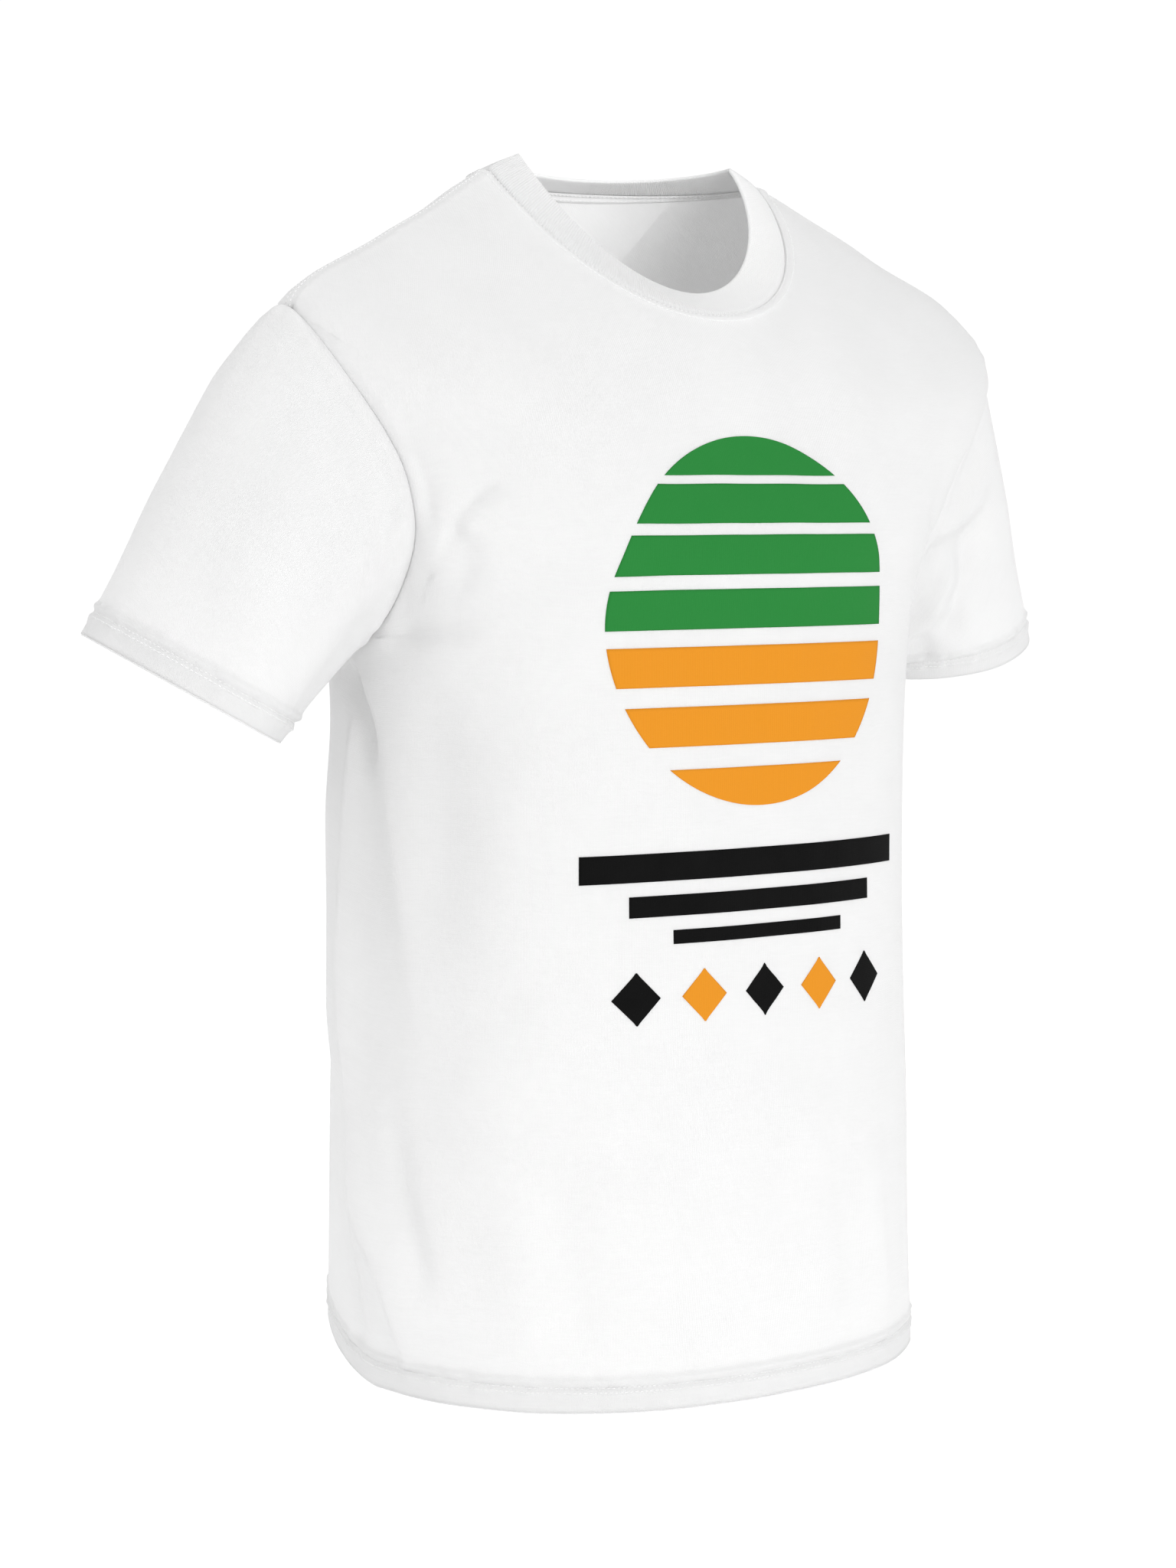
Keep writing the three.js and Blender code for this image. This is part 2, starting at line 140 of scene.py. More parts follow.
# The relief of each seam: its groove's depth and width, then the swell beside it and how far
# off that stands. With ripples, the swell puckers that many times along the seam.
BODY_ARMHOLE = dict(depth=0, width=0.0022, swell=0.0007, swell_at=0.007, ripples=26, seed=3)
SLEEVE_ARMHOLE = dict(depth=0, width=0.0022, swell=0.0009, swell_at=0.006, ripples=24)
SHOULDER_SEAM = dict(depth=0.0006, width=0.0020, swell=0.0006, swell_at=0.0045)
COLLAR_SEAM = dict(depth=0.0016, width=0.0016, swell=0.0011, swell_at=0.0040)
LOW_HEM_ROW = dict(depth=0.0003, width=0.0009, swell=0, swell_at=0.003)
HIGH_HEM_ROW = dict(
    depth=0.0006, width=0.0011, swell=0.0010, swell_at=HEM_RIDGE - HEM_ROWS[1], reach=0.010,
)
BODY_HEM_RIPPLES = 60
CUFF_RIPPLES = 34

# Rows of stitches beside the other seams, by how far off they lie, and the thread's lie: how
# far its middle stands off the cloth, as a share of its width, and how uneven it is.
NECK_ROWS = (0.0016, 0.0062)
SHOULDER_ROWS = (0.0022, 0.0068)
TAPE_ROW_INSET = 0.0012
THREAD_RISE = 0.15
THREAD_UNEVENNESS = 0.15

# Uneven waves of the hanging cloth: their height, and their size along each axis. They shift
# by this much from one seed to the next, so that no two sheets have the same ones.
BODY_WAVES = (0.0030, (0.055, 0.055, 0.30))
SLEEVE_WAVES = (0.0026, (0.045, 0.045, 0.14))
WAVE_SHIFT = (7.3, 3.1, 5.7)

# How high the hems turn up and where their rows lie, and the gap between two layers of cloth.
# Where cloth folds over an edge, the fold has this many rows.
HEM_TURN_UP = 0.021
HEM_PARTS = np.linspace(0.1, 1, 8)
LAYER_GAP = 0.0002
FOLD_ROWS = 7

# How far from an edge the way up the cloth is measured, as a level or share and in metres.
EDGE_STEP = 0.05
HEM_STEP = 0.002

# The collar: it swells a little over its height and sinks in at its seam. With a pace above
# 1, the swell ends a little below the edge. The base is the width of the collar's closed end
# on the cloth map.
COLLAR_HEIGHT = 0.020
COLLAR_SWELL = 0.0004
COLLAR_SWELL_PACE = 1.15
COLLAR_SINK = 0.0014
COLLAR_SINK_REACH = 0.0012
COLLAR_BASE = 0.002
COLUMNS_PER_RIB = 4

# The tape starts below the neck seam, and stops so many columns short of the shoulder seams.
TAPE_TOP = 0.0006
TAPE_WIDTH = 0.008
TAPE_THICKNESS = 0.0007
TAPE_MARGIN = 4
TAPE_RIB_PITCH = 0.0008

# The raw edges of an armhole seam: how deep their rows lie, and how many cloths thick.
SEAM_EDGE_DEPTHS = (0.0020, 0.004, 0.006, 0.008)
SEAM_EDGE_LAYERS = 1.6

# Where the points of the lines along the seams and the hems lie.
ARMHOLE_TURNS = np.linspace(0, 2 * math.pi, 161)
NECK_TURNS = np.linspace(0, 2 * math.pi, 241)
HEM_TURNS = np.linspace(0, 2 * math.pi, 200)
CUFF_TURNS = np.linspace(0, 2 * math.pi, 120)
SHOULDER_LINE_LEVELS = np.linspace(SHOULDER_TIP, NECK_SEAM, 40)
SHOULDER_ROW_LEVELS = np.linspace(SHOULDER_TIP + 0.02, NECK_SEAM - 0.05, 60)

# How each knit looks: the depth of its loops, how cloudy it is and the light it lets through.
JERSEY_LOOK = dict(relief=0.00016, tone=1.0, sheer=0.36)
RIB_LOOK = dict(relief=0.00012, tone=0.6, sheer=0.36)

# The print. Each bar has a half width and a height. The tips are half widths too.
SUN_STRIPES = 7
SUN_FIRST_GAP = 0.005
SUN_GAP_GROWTH = 0.0016
GREEN_STRIPES = 4
BARS = ((0.120, 0.016), (0.092, 0.012), (0.064, 0.008))
BAR_GAP = 0.008
DIAMOND_COUNT = 5
DIAMOND_SPACING = 0.044
DIAMOND_SIZE = 0.015
SUN_TIP = 0.001
DIAMOND_TIP = 0.0004
INK_THICKNESS = 0.0004

# The size of the ink's cells, the fewest rows of them in a stripe of the sun, and how often
# the search for a place on the chest halves its range.
INK_CELL = 0.0022
SUN_FEWEST_ROWS = 12
HALVINGS = 30

# How far left of the shirt's middle the camera aims.
AIM_ASIDE = 0.0216
VIEW_END = 60.0

# Where each light stands, the height it shines at and its size.
LIGHTS = {
    "key": ((-0.35, -3.0, 0.15), -0.30, 1.4),
    "fill": ((-1.9, 0.6, 1.4), -0.30, 1.6),
    "top": ((1.1, -1.17, 1.9), -0.10, 0.6),
}

# The narrow light that shines over the front of the collar onto the inside of the back.
NECK_LIGHT_PLACE = (0.3, -3.0, 0.2)
NECK_LIGHT_AIM = (-0.010, 0.075, 0.012)
NECK_LIGHT_CONE = math.radians(3.3)
NECK_LIGHT_SIZE = 0.04
NECK_LIGHT_BLEND = 0.25

BACKDROP_STRENGTH = 1.05
FLOOR_RADIUS = 12.0
FLOOR_SIDES = 96
FLOOR_GLOW = 0.35

CLOTH_MAP = "cloth"


# ---- Sizes and colours that a user may change ----------------------------------------------


class ShirtCloth(bpy.types.PropertyGroup):
    """The cloth and its thread."""

    thickness: FloatProperty(
        name="Cloth thickness", description="Thickness of the knit", default=0.0009,
        min=0.0003, unit="LENGTH",
    )
    fold_strength: FloatProperty(
        name="Folds", description="How deep the folds are, as a share of their full depth",
        default=1.0, min=0.0, max=1.5, subtype="FACTOR",
    )
    jersey_colour: FloatVectorProperty(
        name="Jersey", description="Colour of the body and the sleeves", size=3,
        default=(0.94, 0.94, 0.94), min=0.0, max=1.0, subtype="COLOR",
    )
    rib_colour: FloatVectorProperty(
        name="Rib", description="Colour of the collar and the neck tape", size=3,
        default=(0.93, 0.93, 0.93), min=0.0, max=1.0, subtype="COLOR",
    )
    wale_pitch: FloatProperty(
        name="Wale pitch", description="Distance between two columns of stitches in the knit",
        default=0.0009, min=0.0002, unit="LENGTH",
    )
    course_pitch: FloatProperty(
        name="Course pitch", description="Distance between two rows of stitches in the knit",
        default=0.0007, min=0.0002, unit="LENGTH",
    )
    rib_count: IntProperty(
        name="Collar ribs", description="How many ribs the collar has all round",
        default=420, min=60,
    )
    rib_depth: FloatProperty(
        name="Rib depth", description="How far the collar's ribs rise and fall",
        default=0.00022, min=0.0, unit="LENGTH",
    )
    collar_thickness: FloatProperty(
        name="Collar thickness", description="Thickness of the doubled collar",
        default=0.0021, min=0.001, unit="LENGTH",
    )
    stitch_pitch: FloatProperty(
        name="Stitch pitch", description="Distance from one stitch to the next",
        default=0.0030, min=0.001, unit="LENGTH",
    )
    stitch_length: FloatProperty(
        name="Stitch length", description="Length of each stitch that shows",
        default=0.0025, min=0.0005, unit="LENGTH",
    )
    thread_width: FloatProperty(
        name="Thread", description="Thickness of the sewing thread",
        default=0.00055, min=0.0001, unit="LENGTH",
    )


class ShirtPrint(bpy.types.PropertyGroup):
    """The print on the chest: a striped sun over bars and diamonds."""

    green: FloatVectorProperty(
        name="Green", description="Colour of the sun's upper stripes", size=3,
        default=(0.019, 0.197, 0.036), min=0.0, max=1.0, subtype="COLOR",
    )
    orange: FloatVectorProperty(
        name="Orange", description="Colour of the sun's lower stripes", size=3,
        default=(0.670, 0.250, 0.015), min=0.0, max=1.0, subtype="COLOR",
    )
    black: FloatVectorProperty(
        name="Black", description="Colour of the bars and of the dark diamonds", size=3,
        default=(0.001, 0.001, 0.001), min=0.0, max=1.0, subtype="COLOR",
    )
    sun_radius: FloatProperty(
        name="Sun radius", description="Radius of the striped sun", default=0.106, unit="LENGTH",
    )
    sun_height: FloatProperty(
        name="Sun height", description="Height of the sun's middle", default=-0.264, unit="LENGTH",
    )
    bar_top: FloatProperty(
        name="Bars' top", description="Height of the top of the first bar",
        default=-0.394, unit="LENGTH",
    )
    diamond_height: FloatProperty(
        name="Diamonds' height", description="Height of the row of diamonds",
        default=-0.476, unit="LENGTH",
    )
    rise: FloatProperty(
        name="Ink rise", description="How far the ink stands on the cloth",
        default=0.00022, unit="LENGTH",
    )


class ShirtStage(bpy.types.PropertyGroup):
    """The camera, the lights and the floor."""

    azimuth: FloatProperty(
        name="Azimuth", description="Direction of the camera round the shirt",
        default=math.radians(-39.8), subtype="ANGLE",
    )
    distance: FloatProperty(
        name="Distance", description="Level distance from the camera to the shirt's middle",
        default=2.367, unit="LENGTH",
    )
    camera_height: FloatProperty(
        name="Camera height", description="Height of the camera", default=-0.264, unit="LENGTH",
    )
    aim_height: FloatProperty(
        name="Aim height", description="Height that the camera looks at",
        default=-0.362, unit="LENGTH",
    )
    lens: FloatProperty(
        name="Lens", description="Focal length of the camera", default=90.7,
        unit="CAMERA", subtype="DISTANCE_CAMERA",
    )
    sky_strength: FloatProperty(
        name="Sky", description="Strength of the even light from all round", default=0.805,
        min=0.0,
    )
    key_strength: FloatProperty(
        name="Key light", description="Power of the light in front", default=28.0, min=0.0,
        subtype="POWER",
    )
    fill_strength: FloatProperty(
        name="Fill light", description="Power of the light behind the wearer's right shoulder",
        default=15.0, min=0.0, subtype="POWER",
    )
    top_strength: FloatProperty(
        name="Top light", description="Power of the light high over the wearer's left shoulder",
        default=6.9, min=0.0, subtype="POWER",
    )
    neck_strength: FloatProperty(
        name="Neck light", description="Power of the narrow light that shines into the neck",
        default=130.0, min=0.0, subtype="POWER",
    )
    floor_depth: FloatProperty(
        name="Floor depth", description="How far the floor lies below the hem",
        default=0.8, min=0.0, unit="LENGTH",
    )


# ---- The surfaces of the shirt -------------------------------------------------------------


def smoothstep(low, high, value):
    part = np.clip((value - low) / (high - low), 0, 1)
    return part * part * (3 - 2 * part)


def unit(vectors):
    return vectors / np.maximum(np.linalg.norm(vectors, axis=-1, keepdims=True), 1e-12)


def hermite(t, start, start_tangent, end, end_tangent):
    square = t * t
    cube = square * t
    return (
        (2 * cube - 3 * square + 1) * start
        + (cube - 2 * square + t) * start_tangent
        + (3 * square - 2 * cube) * end
        + (cube - square) * end_tangent
    )


def ring_tangents():
    spans = np.diff(RING_LEVELS)[:, None]
    slopes = np.diff(RINGS, axis=0) / spans
    inner = (slopes[:-1] * spans[1:] + slopes[1:] * spans[:-1]) / (spans[1:] + spans[:-1])
    return np.concatenate([slopes[:1], inner, slopes[-1:]])


RING_TANGENTS = ring_tangents()


def ring_at(level):
    """The ring at each level, on smooth curves through the listed ones."""
    level = np.asarray(level, float)
    i = np.clip(np.searchsorted(RING_LEVELS, level) - 1, 0, len(RINGS) - 2)
    span = RING_LEVELS[i + 1] - RING_LEVELS[i]
    t = ((level - RING_LEVELS[i]) / span)[..., None]
    span = span[..., None]
    return hermite(t, RINGS[i], span * RING_TANGENTS[i], RINGS[i + 1], span * RING_TANGENTS[i + 1])


def point_on_ring(ring, turn):
    across = np.cos(turn)
    fore = np.sin(turn)
    is_front = fore > 0
    roundness = 2 / ring[..., SQUARENESS]
    depth = np.where(is_front, -ring[..., FRONT_DEPTH], ring[..., BACK_DEPTH])
    drop = np.where(is_front, ring[..., FRONT], ring[..., BACK]) - ring[..., SIDE]
    return np.stack([
        ring[..., HALF_WIDTH] * np.sign(across) * np.abs(across) ** roundness,
        depth * np.abs(fore) ** roundness + ring[..., SHIFT] * across * across,
        ring[..., SIDE] + drop * np.abs(fore) ** ring[..., SAG],
    ], axis=-1)


def body_point(level, turn):
    level, turn = np.broadcast_arrays(np.asarray(level, float), np.asarray(turn, float))
    return point_on_ring(ring_at(level), turn)


def panel_edge(level, face):
    """The turn at which the front or the back ends at the side, armhole or shoulder seam."""
    up_armhole = np.clip(np.asarray(level, float) - UNDERARM, 0, 1)
    reach = ARMHOLE_REACH[face] * np.sqrt(1 - (2 * up_armhole - 1) ** 2)
    ring = ring_at(level)
    depth = ring[..., FRONT_DEPTH if face == "front" else BACK_DEPTH]
    return np.arcsin((reach / depth) ** (ring[..., SQUARENESS] / 2))


def armhole_place(turn):
    """The left armhole, round from the tip of the shoulder, down the front and up the back."""
    level = UNDERARM + (1 + np.cos(turn)) / 2
    fore = np.sin(turn) > 0
    return level, np.where(fore, panel_edge(level, "front"), -panel_edge(level, "back"))


def cuff_point(turn, side):
    centre, direction = CUFFS[side]
    direction = unit(direction)
    outward = unit(np.array([1.0, 0, 0]) - direction[0] * direction)
    forward = np.cross(direction, outward)
    round_it = np.cos(turn)[..., None] * outward + np.sin(turn)[..., None] * forward
    return centre + CUFF_RADIUS * round_it


def sleeve_point(along, turn, side):
    """A sleeve, as if it were the left one, from its armhole to its cuff. Over the top it
    leaves the shoulder level and then falls."""
    along, turn = np.broadcast_arrays(np.asarray(along, float), np.asarray(turn, float))
    start = body_point(*armhole_place(turn))
    end = cuff_point(turn, side)
    run = end - start
    over_top = (((1 + np.cos(turn)) / 2) ** SHOULDER_FOCUS)[..., None]
    leave = run + (run * (SHOULDER_PULL - 1) + SHOULDER_RUN) * over_top
    arrive = run * (1 + (CUFF_PULL - 1) * over_top)
    return hermite(along[..., None], start, leave, end, arrive)


def collar_point(up, turn):
    up, turn = np.broadcast_arrays(np.asarray(up, float), np.asarray(turn, float))
    seam = body_point(np.full(turn.shape, float(NECK_SEAM)), turn)
    edge = point_on_ring(np.broadcast_to(COLLAR_EDGE, (*turn.shape, len(COLLAR_EDGE))), turn)
    return seam + (edge - seam) * up[..., None]


def surface_normal(surface, u, v, sign, low, high):
    """The unit normals of a surface, from its slopes either way."""
    step = 1e-3
    u = np.clip(u, low + 2 * step, high - 2 * step)
    along_u = surface(u + step, v) - surface(u - step, v)
    along_v = surface(u, v + step) - surface(u, v - step)
    return unit(np.cross(along_u, along_v) * sign)


# ---- Sheets of cloth as grids of points ----------------------------------------------------


class Sheet:
    """A grid of points with their normals. Rows go up or along, columns across or round."""

    def __init__(self, rows, columns, points, normals, is_ring=False):
        self.rows = rows
        self.columns = columns
        self.points = points
        self.normals = normals
        self.is_ring = is_ring

    def refresh_normals(self):
        """Works the normals out again once the points have moved."""
        points = self.points
        if self.is_ring:
            points = np.concatenate([points[:, -2:-1], points, points[:, 1:2]], axis=1)
        cross = np.cross(np.gradient(points, axis=0), np.gradient(points, axis=1))
        if self.is_ring:
            cross = cross[:, 1:-1]
        facing = np.sign((cross * self.normals).sum(-1, keepdims=True))
        self.normals = unit(cross * facing)

    def at(self, row, column):
        """Points and normals between those of the grid, on its own straight-edged faces."""
        row, column = np.broadcast_arrays(row, column)
        i = np.interp(row, self.rows, np.arange(len(self.rows)))
        j = np.interp(column, self.columns, np.arange(len(self.columns)))
        i0 = np.minimum(i.astype(int), len(self.rows) - 2)
        j0 = np.minimum(j.astype(int), len(self.columns) - 2)
        s = (i - i0)[..., None]
        t = (j - j0)[..., None]

        def blend(grid):
            low = grid[i0, j0] * (1 - t) + grid[i0, j0 + 1] * t
            high = grid[i0 + 1, j0] * (1 - t) + grid[i0 + 1, j0 + 1] * t
            return low * (1 - s) + high * s

        return blend(self.points), unit(blend(self.normals))

    def lengths(self, axis):
        """How far each point is from the first of its column (axis 0) or row (axis 1)."""
        steps = np.linalg.norm(np.diff(self.points, axis=axis), axis=-1)
        start = np.zeros_like(np.take(steps, [0], axis=axis))
        return np.concatenate([start, np.cumsum(steps, axis=axis)], axis=axis)

    def mirrored(self):
        flip = np.array([-1.0, 1, 1])
        return Sheet(self.rows, self.columns, self.points * flip, self.normals * flip, self.is_ring)


def stretches(*runs):
    """Values that run from a start to a stop in so many steps, one run after another."""
    values = [np.linspace(start, stop, count, endpoint=False) for start, stop, count in runs]
    return np.concatenate([*values, [runs[-1][1]]])


def crowded_ends(count, crowding):
    """Values from 0 to 1 that lie closer together near both ends."""
    even = np.linspace(0, 1, count + 1)
    return even - crowding * np.sin(2 * math.pi * even) / (2 * math.pi)


# ---- Folds, seams and their relief ---------------------------------------------------------


def smooth_line(stops, count=40):
    """A smooth curve through a few points."""
    stops = np.asarray(stops, float)
    ends = [2 * stops[0] - stops[1], 2 * stops[-1] - stops[-2]]
    padded = np.concatenate([ends[:1], stops, ends[1:]])
    where = np.linspace(0, len(stops) - 1, count)
    i = np.minimum(where.astype(int), len(stops) - 2)
    t = (where - i)[:, None]
    before, start, end, after = (padded[i + k] for k in range(4))
    return hermite(t, start, (end - before) / 2, end, (after - start) / 2)


def nearest_on_line(points, line, at_once=4096):
    """For each point: its way to the line, the line's direction there, and the share along."""
    starts = line[:-1]
    runs = np.diff(line, axis=0)
    squares = (runs ** 2).sum(-1)
    way = np.empty((len(points), 3))
    heading = np.empty((len(points), 3))
    share = np.empty(len(points))
    for first in range(0, len(points), at_once):
        chunk = slice(first, first + at_once)
        offsets = points[chunk, None] - starts
        part = np.clip((offsets * runs).sum(-1) / squares, 0, 1)
        gaps = offsets - part[..., None] * runs
        best = (gaps ** 2).sum(-1).argmin(1)
        pick = np.arange(len(best))
        way[chunk] = gaps[pick, best]
        heading[chunk] = runs[best]
        share[chunk] = (best + part[pick, best]) / len(runs)
    return way, unit(heading), share


def in_box_of(points, line, reach):
    """Which points may lie within reach of a line."""
    return ((points > line.min(0) - reach) & (points < line.max(0) + reach)).all(1)


def near_line(points, line, reach):
    """The points that may lie within reach of a line, with how far from it and along it."""
    flat = points.reshape(-1, 3)
    near = in_box_of(flat, line, reach)
    way, _, share = nearest_on_line(flat[near], line)
    return near, np.linalg.norm(way, axis=-1), share


def fold_relief(points, normals, line, height, left, right):
    """A ridge (or a valley, if the height is below 0) that follows a line. It has a width on
    its left and one on its right, seen from outside, and it fades in and out at its ends."""
    way, heading, share = nearest_on_line(points, line)
    side = (np.cross(normals, heading) * way).sum(-1)
    distance = np.linalg.norm(way, axis=-1)
    width = np.where(side > 0, left, right)
    fade = smoothstep(0, FOLD_END, share) * smoothstep(0, FOLD_END, 1 - share)
    return height * fade * np.exp(-((distance / width) ** 2))


def ripple(share, count, seed):
    """An uneven wave along a seam, between 0 and 1, that closes on itself."""
    phases = np.random.default_rng(seed).uniform(0, 2 * math.pi, len(RIPPLE_RATES))
    wave = sum(
        np.sin(2 * math.pi * round(count * rate) * share + phase) * weight
        for rate, phase, weight in zip(RIPPLE_RATES, phases, RIPPLE_WEIGHTS)
    )
    return np.clip(0.5 + 0.5 * wave, 0, 1)


def seam_relief(distance, share, depth, width, swell, swell_at, ripples=0, seed=0, reach=0.012):
    """A groove along a seam with a low swell beside it, which puckers if ripples is set."""
    groove = -depth * np.exp(-((distance / width) ** 2))
    bulge = swell * np.exp(-(((distance - swell_at) / (0.6 * swell_at)) ** 2))
    if ripples:
        wave = ripple(share, ripples, seed)
        bulge = bulge * (0.4 + 1.2 * wave)
        pucker = 0.7 * swell * (wave - 0.5) * np.exp(-((distance / reach) ** 2))
        bulge = bulge + pucker * (1 - np.exp(-((distance / width) ** 2)))
    return groove + bulge


def drape_waves(points, height, size, seed):
    """Low, uneven waves that are long up and down, as in cloth that hangs."""
    x, y, z = size
    shift = Vector([seed * step for step in WAVE_SHIFT])
    waves = [
        noise.noise(Vector((p[0] / x, p[1] / y, p[2] / z)) + shift)
        for p in points.reshape(-1, 3).tolist()
    ]
    return height * np.reshape(waves, points.shape[:2])


# ---- Where the folds lie -------------------------------------------------------------------

# Each fold follows stops on a surface. On the body a stop is a level and a turn in degrees,
# and on a sleeve it is the share of the way to the cuff and a turn in degrees, where 0 is the
# top and 90 the front. Then come the height (below 0 for a valley) and the widths on its left
# and right, all in millimetres.
BODY_FOLDS = [
    # The chest above the wearer's right armpit.
    ([(1.74, 153.5), (1.58, 151.5), (1.46, 152), (1.34, 155)], -3.4, 5, 6),
    ([(1.18, 153.5), (1.33, 148), (1.45, 143), (1.55, 138), (1.62, 133), (1.61, 129)], -2.8, 3, 5),
    ([(1.14, 158), (1.33, 151), (1.50, 146), (1.62, 138)], 1.8, 7, 5),
    ([(1.52, 138), (1.43, 142), (1.33, 146)], 2.0, 6, 7),
    ([(1.38, 145), (1.25, 146), (1.10, 148)], -3.2, 9, 8),
    ([(1.20, 159.5), (1.165, 158.5), (1.13, 156)], -2.5, 3, 4),
    ([(1.04, 168), (1.07, 152), (1.10, 138), (1.13, 116)], 2.5, 40, 22),
    # The hollows of the right armpit.
    ([(1.15, 163.5), (1.10, 166.5), (1.05, 169.5), (0.99, 173)], -9.0, 7, 8),
    ([(1.02, 172), (1.02, 164), (1.03, 155), (1.035, 142)], -4.5, 9, 8),
    ([(0.98, 189), (0.91, 185.5), (0.86, 182), (0.78, 179)], -10.0, 7, 9),
    # The long soft edge between the front and the wearer's right side.
    ([(1.12, 120), (0.85, 132), (0.64, 142), (0.33, 149), (0.10, 157)], 6.0, 55, 26),
    ([(0.98, 158), (0.80, 160), (0.62, 163), (0.42, 168)], -5.0, 22, 22),
    # The right side, where the cloth falls from the armpit.
    ([(0.90, 175), (0.78, 174), (0.66, 171), (0.52, 167), (0.40, 163)], 5.0, 26, 12),
    ([(0.95, 187), (0.84, 187), (0.70, 191), (0.54, 193), (0.40, 191), (0.28, 189)], 5.0, 16, 4),
    ([(0.90, 200), (0.70, 202), (0.50, 200), (0.34, 198)], 5.0, 14, 14),
    ([(0.36, 191), (0.22, 186.5), (0.146, 178.5), (0.086, 173.3), (0.02, 170)], 6.5, 20, 6),
    ([(0.28, 197), (0.20, 193.3), (0.137, 188.2), (0.073, 184.8), (0.03, 183)], -2.8, 4, 5),
    ([(0.42, 176), (0.24, 171), (0.17, 167.5), (0.11, 165)], -4.5, 10, 10),
    # Low on the front.
    ([(0.44, 147), (0.25, 143), (0.02, 141)], 2.4, 15, 16),
    ([(0.32, 133.5), (0.22, 132), (0.12, 131), (0.03, 129)], -2.6, 13, 14),
    ([(0.38, 122), (0.20, 120), (0.02, 118)], 2.0, 16, 16),
    ([(0.40, 84), (0.22, 82), (0.02, 80)], 2.4, 18, 13),
    ([(0.36, 66), (0.18, 63), (0.02, 60)], 3.0, 13, 18),
    ([(0.34, 75), (0.18, 73), (0.03, 71)], -1.8, 12, 12),
    # The wearer's left side and chest.
    ([(1.10, 62), (0.85, 50), (0.62, 42), (0.34, 34), (0.10, 28)], 2.0, 22, 30),
    ([(1.16, 28), (1.40, 40), (1.56, 50)], -3.0, 8, 5),
    ([(1.08, 14), (1.00, 8), (0.95, 2)], -8.0, 14, 14),
    ([(0.97, 2), (0.80, -3), (0.62, 3), (0.44, 12)], 8.0, 12, 28),
    ([(0.95, -8), (0.78, -9), (0.58, -3), (0.42, 4)], -6.0, 12, 12),
    ([(0.44, -14), (0.28, -4), (0.06, 6)], 7.0, 13, 20),
    # The back.
    ([(1.60, 222), (1.20, 226), (0.80, 226), (0.30, 222)], 5.0, 20, 26),
    ([(1.30, 238), (0.90, 240), (0.50, 239), (0.05, 236)], -4.5, 18, 18),
    ([(1.75, 252), (1.30, 253), (0.80, 254), (0.20, 252)], 4.0, 20, 18),
    ([(1.40, 268), (0.90, 267), (0.40, 268), (0.05, 270)], -3.6, 18, 16),
    ([(1.70, 284), (1.20, 283), (0.70, 284), (0.15, 286)], 4.4, 18, 22),
    ([(1.30, 300), (0.90, 299), (0.50, 301), (0.05, 303)], -4.5, 18, 18),
    ([(1.55, 318), (1.15, 315), (0.75, 315), (0.28, 319)], 5.0, 26, 20),
    ([(1.10, 196), (1.30, 205), (1.45, 216)], -3.2, 8, 10),
    ([(1.10, 344), (1.30, 335), (1.45, 324)], -3.2, 10, 8),
]
SLEEVE_BACK_FOLDS = [
    ([(0.10, 330), (0.45, 326), (0.85, 322)], 3.0, 20, 20),
    ([(0.08, 280), (0.40, 276), (0.80, 274)], -3.6, 18, 18),
    ([(0.10, 240), (0.30, 232), (0.60, 228)], 3.0, 12, 14),
]
RIGHT_SLEEVE_FOLDS = [
    ([(0.06, 88), (0.15, 96), (0.22, 106), (0.28, 116)], -2.0, 4, 5),
    ([(0.10, 84), (0.20, 92), (0.30, 103), (0.38, 113)], -1.6, 4, 5),
    ([(0.04, 108), (0.10, 110), (0.20, 116)], -2.4, 4, 6),
    ([(0.08, 60), (0.35, 58), (0.62, 60), (0.92, 62)], 3.0, 22, 22),
    ([(0.10, 30), (0.40, 34), (0.75, 36), (0.95, 36)], -2.4, 20, 18),
    ([(0.12, 128), (0.40, 134), (0.70, 136), (0.96, 136)], -4.0, 16, 16),
    *SLEEVE_BACK_FOLDS,
]
LEFT_SLEEVE_FOLDS = [
    ([(0.04, 116), (0.16, 100), (0.28, 86), (0.36, 70), (0.38, 54)], 3.0, 9, 7),
    ([(0.06, 128), (0.20, 112), (0.32, 96), (0.42, 80), (0.46, 64)], -6.5, 9, 16),
    ([(0.38, 76), (0.48, 87), (0.56, 103), (0.66, 114), (0.80, 122)], -6.5, 9, 11),
    ([(0.34, 108), (0.43, 109), (0.51, 119), (0.62, 128)], 4.0, 9, 9),
    ([(0.58, 138), (0.72, 134), (0.88, 136)], -4.0, 9, 10),
    ([(0.12, 56), (0.40, 50), (0.80, 46)], 2.8, 18, 18),
    *SLEEVE_BACK_FOLDS,
]
SLEEVE_FOLDS = {"right": RIGHT_SLEEVE_FOLDS, "left": LEFT_SLEEVE_FOLDS}
MILLIMETRE = 0.001

# How many rows and columns of faces each sheet has. They crowd where the relief is fine.
BODY_LEVELS = stretches((0, 0.020, 3), (0.020, 0.052, 26), (0.052, 1, 82))
ARMHOLE_STEPS = np.linspace(0, 1, 45)[1:]
SHOULDER_LEVELS = stretches((SHOULDER_TIP, 2.92, 22), (2.92, NECK_SEAM, 9))[1:]
PANEL_LEVELS = np.concatenate([BODY_LEVELS, UNDERARM + ARMHOLE_STEPS, SHOULDER_LEVELS])
PANEL_COLUMNS = {"front": 160, "back": 88}
PANEL_CROWDING = 0.5
SLEEVE_ROWS = stretches((0, 0.06, 8), (0.06, 0.80, 46), (0.80, 0.95, 34), (0.95, 1, 5))
SLEEVE_COLUMNS = 190

